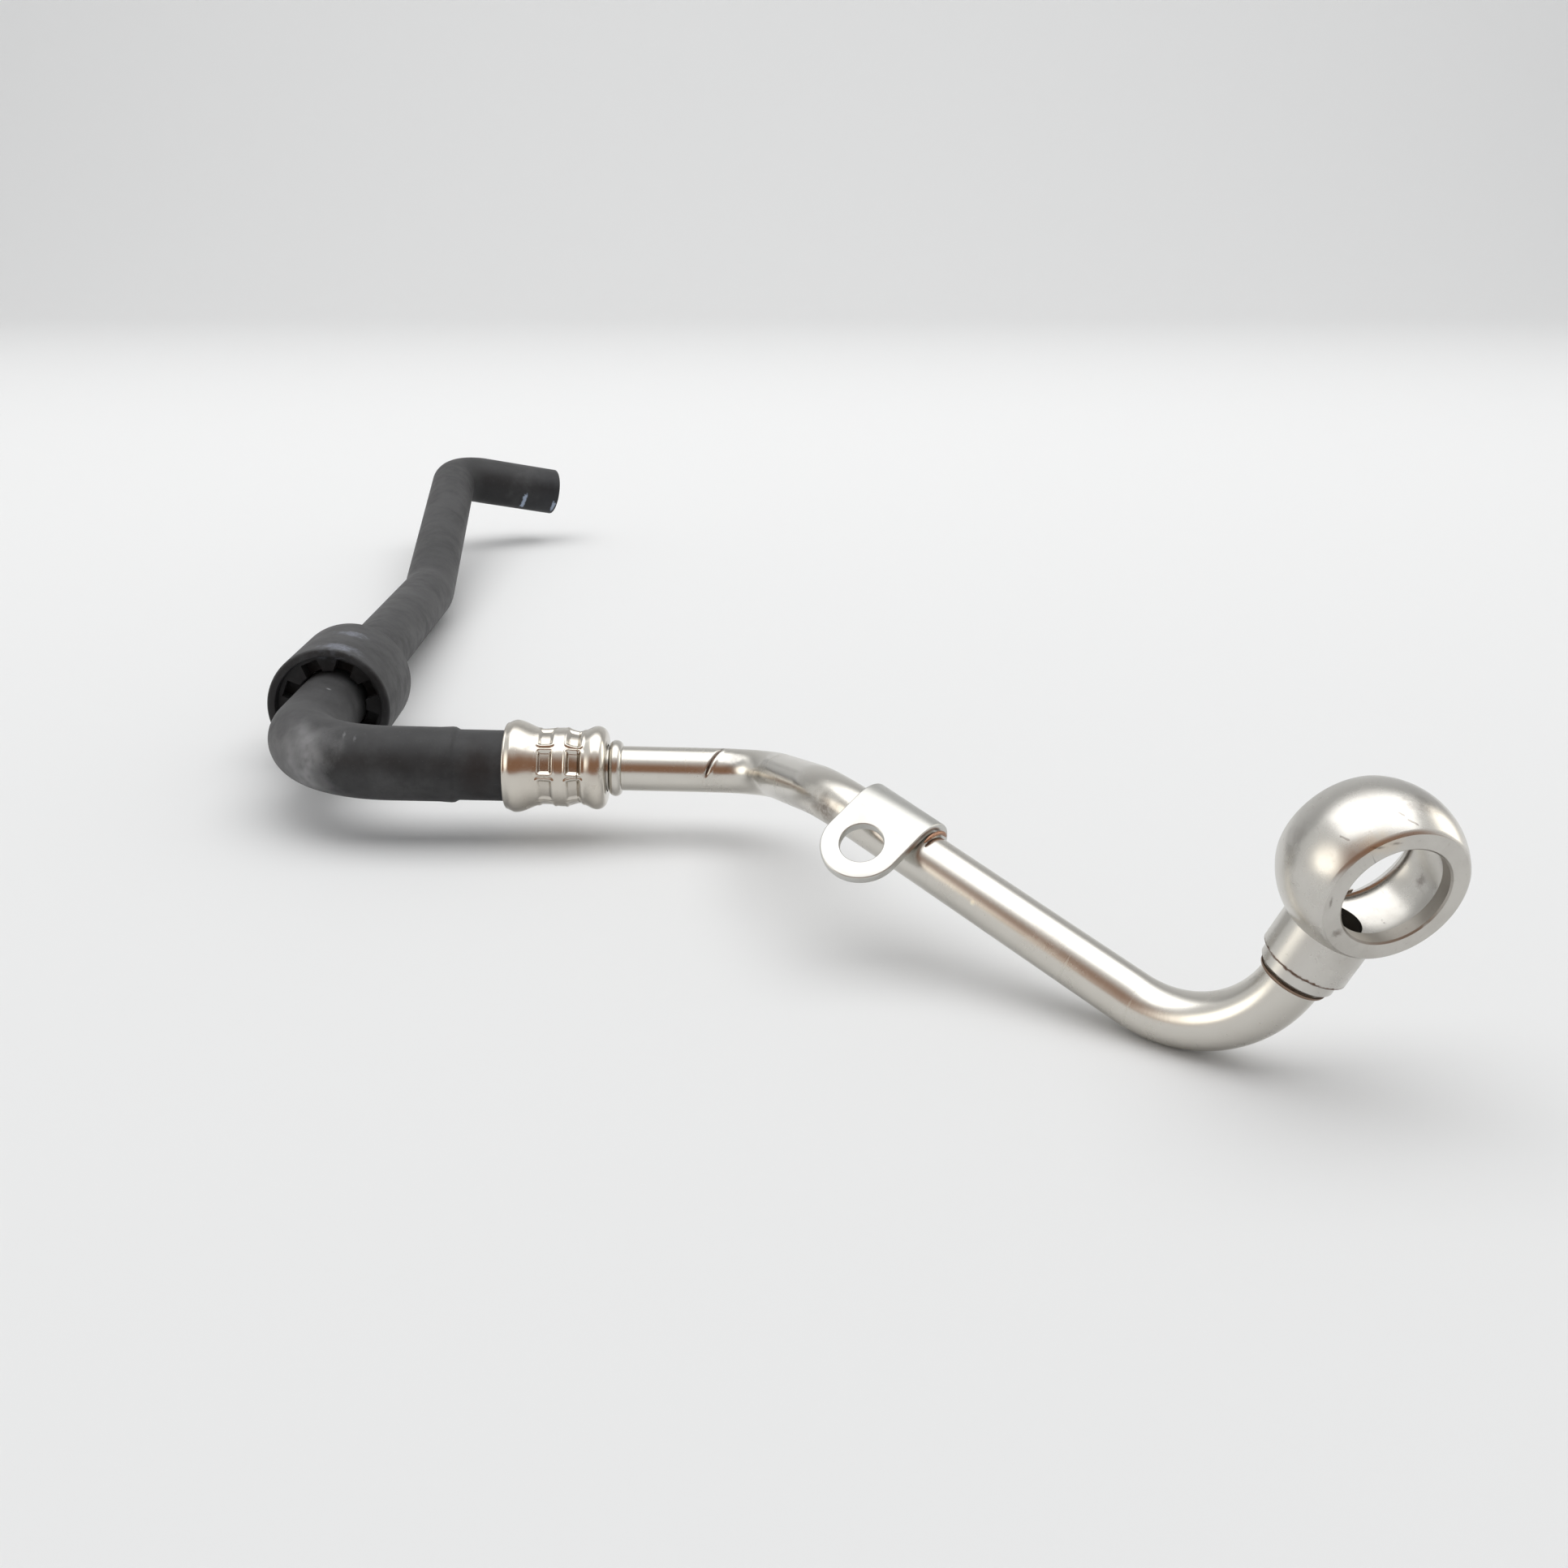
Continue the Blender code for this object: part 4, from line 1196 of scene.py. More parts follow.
def spaced(
    stations: list[Station], step: float, near: Vector | None = None, reach: float = 0.0, fine: float = 0.0
) -> list[Station]:
    """Stations with others put between those that stand far apart.

    Args:
        stations: (point, radius) along a route.
        step: longest distance left between two of them.
        near: place round which they stand closer.
        reach: how far that closer stretch goes.
        fine: longest distance left there.

    Returns:
        The closer stations.
    """
    made = [stations[0]]
    for (start, start_radius), (end, end_radius) in zip(stations, stations[1:]):
        here = step
        if near is not None and min((start - near).length, (end - near).length) < reach:
            here = fine
        count = max(1, math.ceil((end - start).length / here))
        made += [
            (start.lerp(end, i / count), start_radius + (end_radius - start_radius) * i / count)
            for i in range(1, count + 1)
        ]
    return made


@dataclass
class Tube:
    """Bent steel tube, with its bead at the ferrule and the bending tool's nick."""

    ferrule: Ferrule
    outer: float = 8.0 * MM
    wall: float = 1.0 * MM
    bead_od: float = 10.1 * MM
    bead_width: float = 2.4 * MM
    bead_steps: int = 14
    sides: int = 160
    step: float = 0.9 * MM
    inserted: float = 19.5 * MM
    barb: float = 0.15 * MM
    barb_pitch: float = 3.2 * MM
    barbs: int = 4
    stem_reach: float = 17.6 * MM
    socket_depth: float = 5.5 * MM
    nick_at: Vector = field(default_factory=lambda: Vector((2.6, -96.8, 15.2)) * MM)
    nick_start: float = 17.65 * MM
    nick_lean: float = 0.9 * MM
    nick_curl: float = 0.55 * MM
    nick_turn: tuple[float, float] = (-2.0, 108.0)
    nick_depth: float = 0.3 * MM
    nick_width: float = 0.26 * MM
    nick_lip: float = 0.1 * MM
    nick_length: float = 6.0 * MM
    nick_step: float = 0.13 * MM

    def stations(self, line: Line) -> list[Station]:
        """Points and radii of the outside, from inside the hose to the socket."""
        plain = self.outer / 2
        play = self.ferrule.play
        made = [(line.crimp_point(-self.inserted), plain)]
        for i in range(self.barbs):
            start = -self.inserted + self.barb_pitch * (i + 0.5)
            made.append((line.crimp_point(start), plain))
            made.append((line.crimp_point(start + self.barb_pitch / 2), plain + self.barb))
            made.append((line.crimp_point(start + self.barb_pitch / 2 + self.barb), plain))
        rise = self.bead_od / 2 - plain
        made.append((line.crimp_point(play), plain))
        for i in range(1, self.bead_steps):
            share = math.sin(math.pi * i / self.bead_steps)
            reach = play + self.bead_width * i / self.bead_steps
            made.append((line.crimp_point(reach), plain + rise * math.sqrt(share)))
        made.append((line.crimp_point(play + self.bead_width), plain))
        made += [(point, plain) for point in line.tube_bends()]
        made.append((line.stem_point(self.stem_reach - self.socket_depth + play), plain))
        return made

    def build(self, kit: Kit, material: bpy.types.Material) -> None:
        """Sweep the tube, bore it, dent it and put it in place."""
        line = kit.line
        rough = spaced(self.stations(line), self.nick_length / 2)
        stations = spaced(rough, self.step, self.nick_at, self.nick_length * 1.2, self.nick_step)
        piece = kit.swept("tube_skin", stations, self.sides, material)
        inside = self.outer / 2 - self.wall
        route = [(line.crimp_point(-self.inserted - MM), inside)]
        route += [(point, inside) for point in line.tube_bends()]
        route.append((line.stem_point(self.stem_reach - self.socket_depth - MM), inside))
        bore = kit.swept("tube_bore", route, self.sides // 2, material)
        boolean(piece, bore, "DIFFERENCE")
        finished = settled(piece, "bent_tube", Matrix.Identity(4), 50.0)
        dropped(bore)
        self.dent(finished.data, line)
        kit.placed(finished, Slot.TUBE, "steel_tube")

    def dent(self, mesh: bpy.types.Mesh, line: Line) -> None:
        """Press the bending tool's crescent nick into the tube.

        Args:
            mesh: finished skin of the tube.
            line: the route, which gives the straight that the nick starts on.
        """
        axis = (line.crimp_point(1.0) - line.crimp_point(0.0)).normalized()
        start = line.crimp_point(self.nick_start)
        count = len(mesh.vertices)
        flat = np.empty(count * 3)
        mesh.vertices.foreach_get("co", flat)
        points = flat.reshape(count, 3)
        away = points - np.array(start)
        level = away @ np.array(axis)
        turn = np.arctan2(away[:, 2], -away[:, 1])
        path = self.nick_lean * turn + self.nick_curl * turn**2
        across = (level - path) / self.nick_width
        first, last = (math.radians(limit) for limit in self.nick_turn)
        ends = np.clip((turn - first) * 4.0, 0.0, 1.0) * np.clip((last - turn) * 2.2, 0.0, 1.0)
        outside = np.hypot(away[:, 1], away[:, 2]) > self.outer / 2 - self.wall / 2
        weight = ends * outside * (np.linalg.norm(points - np.array(self.nick_at), axis=1) < self.nick_length)
        groove = np.exp(-(across**2)) * weight
        lip = np.exp(-((across - 2.6) ** 2) / 1.6) * weight
        normals = np.empty(count * 3)
        mesh.vertices.foreach_get("normal", normals)
        push = (lip * self.nick_lip - groove * self.nick_depth)[:, None]
        mesh.vertices.foreach_set("co", (points + normals.reshape(count, 3) * push).ravel())
        mark = mesh.attributes.new("nick", "FLOAT", "POINT")
        mark.data.foreach_set("value", np.clip(groove * 1.15, 0.0, 1.0))


@dataclass
class Collar:
    """Moulded ring on the hose: a stiff rim, recessed ends and eight windows."""

    from_elbow: float = 36.5 * MM
    length: float = 25.0 * MM
    outer: float = 24.4 * MM
    rim: float = 1.7 * MM
    recess: float = 2.2 * MM
    edge: float = 0.7 * MM
    hose_od: float = 13.4 * MM
    play: float = 0.3 * MM
    windows: int = 8
    window_width: float = 3.5 * MM
    window_web: float = 0.9 * MM
    window_floor: float = 14.0 * MM
    steps: int = 160

    def build(self, kit: Kit, material: bpy.types.Material) -> None:
        """Turn the ring, cut its windows and put it in place."""
        outer = self.outer / 2
        grip = self.hose_od / 2 + self.play
        inner = outer - self.rim
        corners = [
            (inner, self.length, 0.25 * MM),
            (outer, self.length, self.edge),
            (outer, 0.0, self.edge),
            (inner, 0.0, 0.25 * MM),
            (inner, self.recess, 0.3 * MM),
            (grip, self.recess, 0.3 * MM),
            (grip, self.length - self.recess, 0.3 * MM),
            (inner, self.length - self.recess, 0.3 * MM),
        ]
        blank = turned_mesh("collar_blank", rounded_outline(corners), self.steps, True)
        piece = linked("collar_blank", blank)
        top = inner - self.window_web
        bottom = grip - MM
        for height in (0.0, self.length):
            apply_tree(
                piece,
                kit.windows,
                {
                    "Count": self.windows,
                    "Radius": (top + bottom) / 2,
                    "Height": height,
                    "Size": (top - bottom, self.window_width, self.length - self.window_floor),
                    "Material": material,
                },
            )
        run = (kit.line.rest - kit.line.elbow).normalized()
        place = standing_on(kit.line.elbow + run * self.from_elbow, run, Vector((0.0, 0.0, 1.0)))
        place = place @ Matrix.Rotation(math.pi / self.windows, 4, "Z")
        kit.placed(settled(piece, "windowed_collar", place, 35.0), Slot.COLLAR, "damper_collar")


@dataclass
class BanjoEye:
    """Ball eye with two sealing faces, a grooved bolt bore and a bored stem."""

    axis: Vector = field(default_factory=lambda: Vector((0.21, -0.945, -0.248)).normalized())
    outer: float = 22.9 * MM
    face: float = 19.3 * MM
    width: float = 12.4 * MM
    bore: float = 14.2 * MM
    groove: float = 17.0 * MM
    land: float = 2.0 * MM
    arc_steps: int = 40
    steps: int = 176
    face_edge: float = 0.18 * MM
    bore_edge: float = 0.22 * MM
    stem_od: float = 11.7 * MM
    stem_reach: float = 17.6 * MM
    nose_od: float = 10.2 * MM
    nose_length: float = 2.2 * MM
    nose_chamfer: float = 0.5 * MM
    socket_depth: float = 5.5 * MM
    port: float = 7.2 * MM
    tube_od: float = 8.0 * MM
    play: float = 0.3 * MM
    stem_steps: int = 112

    def eye_outline(self) -> list[tuple[float, float]]:
        """Closed section of the bored eye, from the upper face's bore edge round."""
        half = self.width / 2
        rise = (self.outer - self.face) / 2
        arc_radius = (half**2 + rise**2) / (2 * rise)
        arc_centre = self.outer / 2 - arc_radius
        spread = math.asin(half / arc_radius)
        land = half - self.land
        groove = (self.groove - self.bore) / 2
        bore = self.bore / 2
        edge = self.bore_edge
        points = [(bore, half - edge), (bore + edge * 0.4, half - edge * 0.25), (bore + edge, half)]
        points.append((self.face / 2 - self.face_edge, half))
        for i in range(self.arc_steps + 1):
            angle = spread * (1 - 2 * i / self.arc_steps)
            x = arc_centre + arc_radius * math.cos(angle)
            y = arc_radius * math.sin(angle)
            if abs(y) < half - self.face_edge:
                points.append((x, y))
        points.append((self.face / 2 - self.face_edge, -half))
        points += [(bore + edge, -half), (bore + edge * 0.4, edge * 0.25 - half), (bore, edge - half), (bore, -land)]
        rounds = 24
        for i in range(1, rounds):
            angle = math.pi * (1 - i / rounds)
            points.append((bore + groove * math.sqrt(math.sin(angle)), land * math.cos(angle)))
        points.append((bore, land))
        return points

    def build(self, kit: Kit, material: bpy.types.Material) -> None:
        """Turn the eye and the stem, join and bore them and put them in place."""
        line = kit.line
        stem_axis = line.stem_point(1.0) - line.eye
        place = standing_on(line.eye, self.axis, stem_axis)
        along = standing_on(line.eye, stem_axis, self.axis)
        solid = [(0.0, self.width / 2)] + [p for p in self.eye_outline() if p[0] > self.bore / 2 + self.bore_edge]
        solid.append((0.0, -self.width / 2))
        piece = linked("eye_blank", turned_mesh("eye_blank", solid, self.steps, False))
        piece.data.transform(place)
        reach = self.stem_reach
        nose = self.nose_od / 2
        shoulder = reach - self.nose_length
        step_edge = 0.2 * MM
        stem = [
            (0.0, reach),
            (nose - self.nose_chamfer, reach),
            (nose, reach - self.nose_chamfer),
            (nose, shoulder + 0.1 * MM),
            (self.stem_od / 2 - step_edge, shoulder),
            (self.stem_od / 2, shoulder - step_edge),
            (self.stem_od / 2, self.bore / 4),
            (0.0, self.bore / 4),
        ]
        blank = linked("stem_blank", turned_mesh("stem_blank", stem, self.stem_steps, False))
        blank.data.transform(along)
        boolean(piece, blank, "UNION")
        half = self.width / 2
        bolt = [(0.0, half + MM), (self.bore / 2 + self.bore_edge + MM, half + MM)]
        bolt += [(self.bore / 2 + self.bore_edge, half), (self.bore / 2, half - self.bore_edge)]
        inner = [p for p in self.eye_outline() if p[0] <= self.groove / 2 and abs(p[1]) <= half - self.land]
        bolt += sorted(inner, key=lambda point: -point[1])
        bolt += [(self.bore / 2, self.bore_edge - half), (self.bore / 2 + self.bore_edge, -half)]
        bolt += [(self.bore / 2 + self.bore_edge + MM, -half - MM), (0.0, -half - MM)]
        drill = linked("bolt_bore", turned_mesh("bolt_bore", bolt, self.steps, False))
        drill.data.transform(place)
        boolean(piece, drill, "DIFFERENCE")
        socket = self.tube_od / 2 + self.play
        floor = reach - self.socket_depth
        port = [
            (0.0, reach + MM),
            (socket, reach + MM),
            (socket, floor),
            (self.port / 2, floor),
            (self.port / 2, self.bore / 4),
            (0.0, self.bore / 4),
        ]
        cutter = linked("port_bore", turned_mesh("port_bore", port, self.stem_steps, False))
        cutter.data.transform(along)
        boolean(piece, cutter, "DIFFERENCE")
        piece.data.materials.append(material)
        finished = settled(piece, "banjo_eye", Matrix.Identity(4), 28.0)
        dropped(blank, drill, cutter)
        kit.placed(finished, Slot.EYE, "banjo_fitting")


@dataclass
class Strap:
    """One folded strip: wrapped over the tube, then a flat tab with a bolt hole."""

    from_crest: float = 12.8 * MM
    facing: Vector = field(default_factory=lambda: Vector((-0.14, -0.56, 0.815)))
    width: float = 12.4 * MM
    thickness: float = 1.5 * MM
    wrap: float = math.radians(118)
    hole: float = 6.6 * MM
    hole_from_bend: float = 6.2 * MM
    tube_od: float = 8.0 * MM
    play: float = 0.3 * MM
    rounding: float = 0.22 * MM
    arc_cuts: int = 40

    def place(self, line: Line) -> Matrix:
        """Frame on the tube's axis: X along the tube, Z square to the tab."""
        along = (line.tube_rest - line.crest).normalized()
        facing = (self.facing - along * self.facing.dot(along)).normalized()
        matrix = Matrix((along, facing.cross(along), facing)).transposed().to_4x4()
        matrix.translation = line.crest + along * self.from_crest
        return matrix

    def blank_outline(self) -> list[tuple[float, float]]:
        """Edge of the flat blank: the strip's end, then its sides and the round tab."""
        half = self.width / 2
        inner = self.tube_od / 2 + self.play
        strip = self.wrap * (inner + self.thickness / 2)
        points = [(-half, strip), (half, strip)]
        rounds = 48
        for i in range(rounds + 1):
            angle = -math.pi * i / rounds
            points.append((half * math.cos(angle), half * math.sin(angle) - self.hole_from_bend))
        return points[:2] + points[2:]

    def build(self, kit: Kit, material: bpy.types.Material) -> None:
        """Cut the blank, fold it over the tube and put it in place."""
        work = bmesh.new()
        loop = [work.verts.new((x, y, 0.0)) for x, y in self.blank_outline()]
        face = work.faces.new(loop)
        raised = bmesh.ops.extrude_face_region(work, geom=[face])
        top = [item for item in raised["geom"] if isinstance(item, bmesh.types.BMVert)]
        bmesh.ops.translate(work, verts=top, vec=(0.0, 0.0, self.thickness))
        bmesh.ops.recalc_face_normals(work, faces=work.faces)
        mesh = bpy.data.meshes.new("strap_blank")
        work.to_mesh(mesh)
        work.free()
        blank = linked("strap_blank", mesh)
        hole = [
            (0.0, 2 * self.thickness),
            (self.hole / 2, 2 * self.thickness),
            (self.hole / 2, -self.thickness),
            (0.0, -self.thickness),
        ]
        drill = linked("strap_hole", turned_mesh("strap_hole", hole, 72, False))
        drill.data.transform(Matrix.Translation((0.0, -self.hole_from_bend, 0.0)))
        boolean(blank, drill, "DIFFERENCE")
        polished(blank, self.rounding, 3, 40.0)
        flat = settled(blank, "strap_flat", Matrix.Identity(4))
        dropped(drill)
        self.fold(flat.data)
        flat.data.transform(self.place(kit.line))
        flat.data.materials.append(material)
        flat.name = "folded_strap"
        kit.placed(flat, Slot.STRAP, "mounting_bracket")

    def fold(self, mesh: bpy.types.Mesh) -> None:
        """Wrap the strip's part of the blank round the tube."""
        inner = self.tube_od / 2 + self.play
        neutral = inner + self.thickness / 2
        strip = self.wrap * neutral
        work = bmesh.new()
        work.from_mesh(mesh)
        for i in range(self.arc_cuts):
            cut = strip * i / self.arc_cuts
            geometry = work.verts[:] + work.edges[:] + work.faces[:]
            bmesh.ops.bisect_plane(work, geom=geometry, plane_co=(0.0, cut, 0.0), plane_no=(0.0, 1.0, 0.0))
        for vert in work.verts:
            x, y, z = vert.co
            if y > 0.0:
                angle = y / neutral
                vert.co = (x, math.sin(angle) * (inner + z), math.cos(angle) * (inner + z))
            else:
                vert.co = (x, y, inner + z)
        work.to_mesh(mesh)
        work.free()
        mesh.shade_smooth()
        mesh.set_sharp_from_angle(angle=math.radians(35))


@dataclass
class Braze:
    """Braze metal: a ring where the tube enters the stem and a bead under the strap's end."""

    strap: Strap
    bead: float = 0.7 * MM
    arc: float = math.radians(80)
    ring_width: float = 0.5 * MM
    ring_height: float = 0.35 * MM
    stem_reach: float = 17.6 * MM
    play: float = 0.3 * MM
    tube_od: float = 8.0 * MM

    def build(self, kit: Kit, line_material: bpy.types.Material, bead_material: bpy.types.Material) -> None:
        """Make both runs of braze and put them in place.

        Args:
            kit: what the pieces are built with.
            line_material: material of the thin line at the stem.
            bead_material: material of the bead under the strap.
        """
        inner = self.tube_od / 2 + self.play
        corners = []
        rounds = 8
        for i in range(rounds + 1):
            angle = math.pi / 2 * i / rounds
            corners.append((inner + self.ring_height * math.cos(angle), self.ring_width * math.sin(angle)))
        outline = [(inner, 0.0)] + corners
        ring = linked("braze_ring_blank", turned_mesh("braze_ring_blank", outline, 112, True))
        ring.data.materials.append(line_material)
        origin = kit.line.stem_point(self.stem_reach + self.play)
        place = standing_on(origin, origin - kit.line.eye, Vector((0.21, -0.945, -0.248)))
        kit.placed(settled(ring, "stem_braze", place), Slot.BRAZE, "banjo_braze_ring")

        radius = self.bead / 2
        frame = self.strap.place(kit.line)
        edge = self.strap.width / 2 + self.play + radius
        around = inner + radius
        stations: list[Station] = []
        steps = 48
        for i in range(steps + 1):
            angle = self.arc * i / steps
            local = Vector((edge, math.sin(angle) * around, math.cos(angle) * around))
            taper = min(1.0, 0.45 + 3.0 * min(i, steps - i) / steps)
            ripple = 1.0 - 0.08 * (1 + math.sin(i * 1.9) * math.cos(i * 0.7))
            stations.append((frame @ local, radius * taper * ripple))
        bead = kit.swept("strap_braze", stations, 28, bead_material)
        kit.placed(bead, Slot.BRAZE, "bracket_braze")


@dataclass
class Studio:
    """Pale seamless sweep, soft light from above and the photograph's camera."""

    eye_point: Vector = field(default_factory=lambda: Vector((15.38, -363.32, 108.12)) * MM)
    pitch: float = 19.951
    focal_pixels: float = 1960.0
    image: int = 1932
    sensor: float = 36.0
    floor: Colour = (0.865, 0.865, 0.862)
    panel: tuple[float, float] = (2.0, 1.2)
    panel_height: float = 1.2
    panel_forward: float = -0.03
    panel_radiance: float = 1.5
    wall_panel: tuple[float, float] = (3.0, 0.7)
    wall_panel_place: Vector = field(default_factory=lambda: Vector((0.0, 0.6, 1.1)))
    wall_panel_target: Vector = field(default_factory=lambda: Vector((0.0, 1.8, 0.1)))
    wall_panel_radiance: float = 1.05
    fill: Colour = (0.44, 0.445, 0.45)
    room_pale: Colour = (0.76, 0.765, 0.765)
    room_dim: Colour = (0.29, 0.15, 0.085)
    window_tone: Colour = (2.5, 2.4, 2.2)
    window_left: Vector = field(default_factory=lambda: Vector((-0.957, -0.203, 0.208)))
    window_right: Vector = field(default_factory=lambda: Vector((0.891, 0.36, 0.276)))

    def camera(self) -> None:
        """Put the camera where the photograph was taken from."""
        data = bpy.data.cameras.new("photo_view")
        data.sensor_width = self.sensor
        data.lens = self.sensor * self.focal_pixels / self.image
        data.clip_start = 1 * MM
        data.clip_end = 50.0
        camera = linked("photo_view", data)
        camera.location = self.eye_point
        camera.rotation_euler = (math.radians(90.0 - self.pitch), 0.0, 0.0)
        bpy.context.scene.camera = camera

    def sweep(self) -> None:
        """Floor that curves up into a backdrop."""
        near, turn, rise, half = -2.0, 1.3, 2.2, 3.0
        radius = 0.6
        profile = [(near, 0.0), (turn, 0.0)]
        rounds = 24
        for i in range(1, rounds + 1):
            angle = math.pi / 2 * i / rounds
            profile.append((turn + radius * math.sin(angle), radius * (1 - math.cos(angle))))
        profile.append((turn + radius, rise))
        verts = [(-half, y, z) for y, z in profile] + [(half, y, z) for y, z in profile]
        count = len(profile)
        faces = [(i, count + i, count + i + 1, i + 1) for i in range(count - 1)]
        mesh = bpy.data.meshes.new("studio_sweep")
        mesh.from_pydata(verts, [], faces)
        mesh.shade_smooth()
        piece = linked("studio_sweep", mesh)
        material = bpy.data.materials.new("studio_paper")
        material.use_nodes = True
        shader = material.node_tree.nodes["Principled BSDF"]
        shader.inputs["Base Color"].default_value = (*self.floor, 1.0)
        shader.inputs["Roughness"].default_value = 0.9
        shader.inputs["Specular IOR Level"].default_value = 0.1
        mesh.materials.append(material)

    def lamp(self, name: str, place: Vector, target: Vector, size: tuple[float, float], radiance: float) -> None:
        """Rectangular soft light.

        Args:
            name: name of the light.
            place: where it hangs.
            target: point that it faces.
            size: width and height.
            radiance: brightness of its face, 1 for white paper in full light.
        """
        data = bpy.data.lights.new(name, "AREA")
        data.shape = "RECTANGLE"
        data.size, data.size_y = size
        data.energy = radiance * math.pi * size[0] * size[1]
        lamp = linked(name, data)
        lamp.location = place
        lamp.rotation_mode = "QUATERNION"
        lamp.rotation_quaternion = (target - place).to_track_quat("-Z", "Y")

    def world(self) -> None:
        """Even pale surroundings, with what metal sees: a dim warm room and two windows."""
        world = bpy.data.worlds.new("studio_room")
        bpy.context.scene.world = world
        world.use_nodes = True
        tree = world.node_tree
        shade = tree.nodes["Background"]
        smooth = {"interpolation_type": "SMOOTHSTEP"}
        direction = add_node(tree, "ShaderNodeTexCoord").outputs["Generated"]
        parts = add_node(tree, "ShaderNodeSeparateXYZ", {0: direction})
        front = add_node(tree, "ShaderNodeMapRange", {0: parts.outputs[1], 1: -0.1, 2: -0.65}, **smooth)
        low = add_node(tree, "ShaderNodeMapRange", {0: parts.outputs[2], 1: 0.97, 2: 0.5}, **smooth)
        dim = add_node(tree, "ShaderNodeMath", {0: front.outputs[0], 1: low.outputs[0]}, operation="MULTIPLY")
        tone = add_node(
            tree,
            "ShaderNodeMix",
            {0: dim.outputs[0], 6: colour(self.room_pale), 7: colour(self.room_dim)},
            data_type="RGBA",
        ).outputs[2]
        for window in (self.window_left, self.window_right):
            away = add_node(
                tree, "ShaderNodeVectorMath", {0: direction, 1: tuple(window.normalized())}, operation="DISTANCE"
            ).outputs["Value"]
            bright = add_node(tree, "ShaderNodeMapRange", {0: away, 1: 0.36, 2: 0.22}, **smooth)
            tone = add_node(
                tree,
                "ShaderNodeMix",
                {0: bright.outputs[0], 6: tone, 7: colour(self.window_tone)},
                data_type="RGBA",
            ).outputs[2]
        rays = add_node(tree, "ShaderNodeLightPath").outputs
        seen = colour(self.fill)
        for ray, light in (("Is Glossy Ray", tone), ("Is Camera Ray", colour(self.room_pale))):
            seen = add_node(tree, "ShaderNodeMix", {0: rays[ray], 6: seen, 7: light}, data_type="RGBA").outputs[2]
        tree.links.new(seen, shade.inputs["Color"])

    def build(self) -> None:
        """Set up the camera, the sweep, the lamps and the world."""
        self.camera()
        self.sweep()
        over = Vector((0.0, self.panel_forward, 0.0))
        self.lamp("ceiling_panel", over + Vector((0.0, 0.0, self.panel_height)), over, self.panel, self.panel_radiance)
        self.lamp(
            "backdrop_panel",
            self.wall_panel_place,
            self.wall_panel_target,
            self.wall_panel,
            self.wall_panel_radiance,
        )
        self.world()
        bpy.context.scene.view_settings.view_transform = "Standard"


# ---------------------------------------------------------------- finishes of this line

HOSE_END_AXIS = (0.884, 0.412, -0.22)
PAINT = (0.40, 0.47, 0.60)
SCUFF = (0.30, 0.30, 0.31)
SCRATCH = (0.16, 0.13, 0.11)
HOSE_FINISH = RubberFinish(
    name="dusty_hose_rubber",
    base=(0.011, 0.011, 0.012),
    dust=(0.15, 0.15, 0.152),
    dusty=0.52,
    roughness=0.55,
    # upward faces lighter: settled dust and a painted top sheen
    settled=0.34,
    spots=(
        Spot((-74.5, -98.0, 15.6), 13.5, (0.36, 0.357, 0.36), 0.85, 0.55),
        Spot((-79.0, -90.0, 17.0), 9.0, (0.18, 0.178, 0.18), 0.5, 0.5),
        Spot((-52.0, -99.0, 11.5), 9.0, (0.09, 0.09, 0.09), 0.4, 0.7, (1.6, 1.0, 0.7)),
        Spot((-38.6, -99.0, 14.5), 6.0, (0.014, 0.009, 0.008), 0.85, 0.3, (0.8, 1.2, 1.2)),
        Spot((-62.4, -95.9, 20.3), 0.9, SCUFF, 0.5, 0.6, (0.45, 1.2, 1.2)),
        Spot((-60.3, -97.0, 20.0), 0.9, SCUFF, 0.4, 0.6, (0.45, 1.2, 1.2)),
        Spot((-73.2, -66.1, 19.9), 0.7, SCUFF, 0.7, 0.2),
        Spot((-62.0, 180.0, 14.0), 17.0, (0.008, 0.010, 0.014), 0.75, 0.2),
    ),
    strokes=(
        Stroke((-72.2, 172.3, 14.5), HOSE_END_AXIS, 1.4, 3.4, PAINT, 0.8),
        Stroke((-62.9, 175.8, 11.4), HOSE_END_AXIS, 1.2, 3.0, PAINT, 0.7),
    ),
)
COLLAR_FINISH = RubberFinish(
    name="collar_rubber_matt",
    base=(0.010, 0.010, 0.011),
    dust=(0.14, 0.14, 0.143),
    dusty=0.6,
    roughness=0.55,
    # upward faces lighter: settled dust and a painted top sheen
    settled=0.3,
    spots=(
        Spot((-73.6, -54.2, 25.2), 3.6, (0.30, 0.32, 0.38), 0.8, 0.8, (1.5, 0.9, 1.0)),
        Spot((-74.5, -42.0, 24.7), 3.0, (0.30, 0.32, 0.38), 0.7, 0.8, (1.4, 0.9, 1.0)),
    ),
)
TUBE_FINISH = MetalFinish(
    name="satin_tube_steel",
    base=(0.63, 0.607, 0.56),
    stain=(0.36, 0.31, 0.26),
    stained=0.22,
    roughness=0.24,
    pattern=Pattern.DRAWN,
    mark_depth=0.0035 * MM,
    dark_mark="nick",
    spots=(
        Spot((21.3, -134.0, 20.8), 4.6, (0.15, 0.115, 0.09), 0.85, 0.6, (1.6, 1.0, 0.7)),
        Spot((6.6, -97.0, 16.0), 2.6, (0.20, 0.20, 0.205), 0.55, 0.6),
        Spot((42.6, -153.0, 13.5), 0.6, (0.9, 0.85, 0.7), 0.8, 0.1),
    ),
)
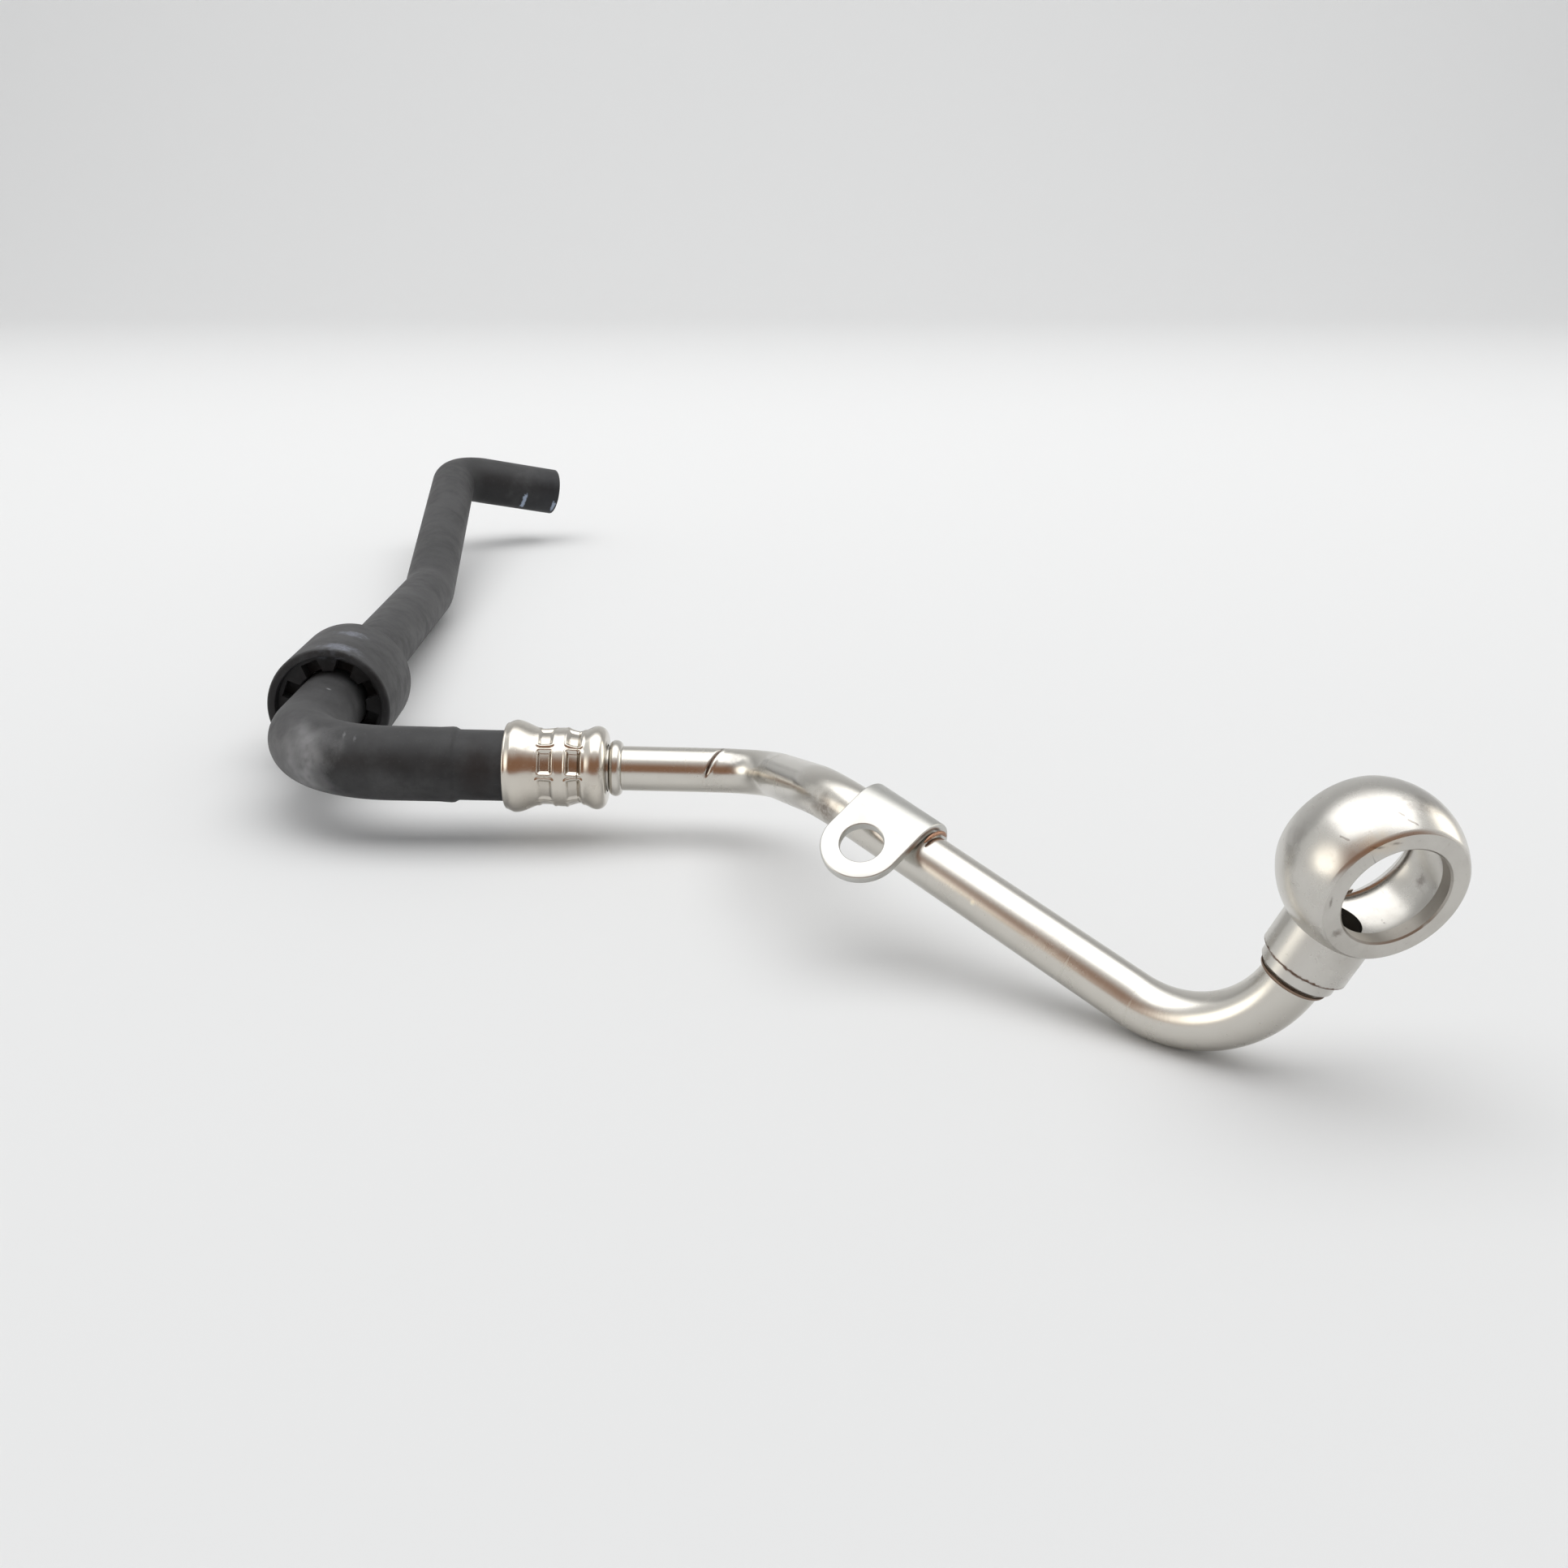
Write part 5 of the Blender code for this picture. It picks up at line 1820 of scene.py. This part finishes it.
FERRULE_FINISH = MetalFinish(
    name="crimped_sleeve_steel",
    base=(0.64, 0.605, 0.545),
    stain=(0.38, 0.30, 0.22),
    stained=0.22,
    roughness=0.21,
    pattern=Pattern.TURNED,
    mark_depth=0.003 * MM,
    centre=Vector((-16.24, -93.61, 13.3)) * MM,
    axis=Vector((0.9996, 0.007, -0.0262)),
    dark_mark="pressed",
    dark_share=0.16,
)
STEM_AXIS = (0.3895, -0.1558, 0.9078)
EYE_FINISH = MetalFinish(
    name="turned_eye_steel",
    base=(0.605, 0.587, 0.55),
    stain=(0.26, 0.23, 0.195),
    stained=0.34,
    roughness=0.26,
    pattern=Pattern.TURNED,
    mark_depth=0.004 * MM,
    centre=Vector((88.38, -180.93, 30.89)) * MM,
    axis=Vector((0.2101, -0.9456, -0.2482)),
    face_level=6.15 * MM,
    face_dull=0.3,
    # painted shade inside the bolt bore
    bore_radius=7.3 * MM,
    bore_painted_shade=1.5,
    spots=(
        Spot((92.0, -185.3, 40.8), 2.8, SCRATCH, 0.5, 0.8, (1.6, 1.0, 0.6)),
        Spot((78.4, -182.6, 35.5), 2.2, (0.26, 0.23, 0.2), 0.4, 0.8, (0.8, 1.0, 1.3)),
        # warm tan patch by the ring's upper left: partly heat tint, partly a painted warm reflection
        Spot((85.5, -189.6, 37.4), 2.6, (0.72, 0.55, 0.36), 0.4, 0.4, (1.6, 1.0, 0.8)),
        Spot((85.6, -189.7, 37.1), 0.8, SCRATCH, 0.9, 0.5, (1.6, 1.0, 0.35)),
        Spot((87.6, -189.4, 37.5), 0.7, SCRATCH, 0.8, 0.5, (1.5, 1.0, 0.4)),
        Spot((81.0, -188.8, 29.6), 0.8, SCRATCH, 0.8, 0.5, (0.35, 1.0, 1.5)),
        Spot((82.8, -187.1, 24.8), 0.9, SCRATCH, 0.8, 0.5, (1.2, 1.0, 0.9)),
        Spot((95.9, -178.4, 28.0), 1.1, SCRATCH, 0.7, 0.4, (1.0, 1.0, 1.3)),
    ),
    strokes=(
        Stroke((82.04, -187.79, 37.53), (0.5, 0.3, 0.8), 0.28, 0.8, SCRATCH, 0.5),
        Stroke((89.73, -188.11, 39.72), (0.5, 0.5, 0.7), 0.28, 0.8, SCRATCH, 0.5),
        Stroke((88.60, -187.27, 40.43), (0.6, 0.5, 0.6), 0.25, 0.5, SCRATCH, 0.4),
        Stroke((82.38, -178.53, 16.91), STEM_AXIS, 0.75, 14.0, (0.13, 0.075, 0.05), 1.0),
    ),
)
STRAP_FINISH = MetalFinish(
    name="plated_strap_sheet",
    base=(0.57, 0.565, 0.536),
    stain=(0.38, 0.355, 0.315),
    stained=0.35,
    roughness=0.34,
    pattern=Pattern.ROLLED,
    mark_depth=0.003 * MM,
    axis=Vector((0.726, -0.614, -0.311)),
)
BRAZE_FINISH = MetalFinish(
    name="copper_braze",
    base=(0.38, 0.215, 0.14),
    stain=(0.13, 0.075, 0.05),
    stained=0.8,
    roughness=0.36,
    pattern=Pattern.ROLLED,
    mark_depth=0.02 * MM,
)
RING_FINISH = replace(BRAZE_FINISH, name="brown_braze_line", base=(0.27, 0.19, 0.14))


def corners(box: tuple[Vector, Vector]) -> list[list[float]]:
    """Both corners of a box as plain lists."""
    return [list(corner) for corner in box]


def main() -> None:
    """Build every piece round the frame and set up the studio."""
    logging.basicConfig(level=logging.INFO, format="%(message)s")
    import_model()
    effects = Effects()
    kit = Kit(Line(), effects, sweep_tree(), ring_cut_tree(), pressed_pads_tree())
    ferrule = Ferrule()
    strap = Strap()
    Hose(ferrule).build(kit, HOSE_FINISH.build(effects))
    Tube(ferrule).build(kit, TUBE_FINISH.build(effects))
    ferrule.build(kit, FERRULE_FINISH.build(effects))
    Collar().build(kit, COLLAR_FINISH.build(effects))
    BanjoEye().build(kit, EYE_FINISH.build(effects))
    strap.build(kit, STRAP_FINISH.build(effects))
    Braze(strap).build(kit, RING_FINISH.build(effects), BRAZE_FINISH.build(effects))
    Studio().build()


if __name__ == "__main__":
    main()
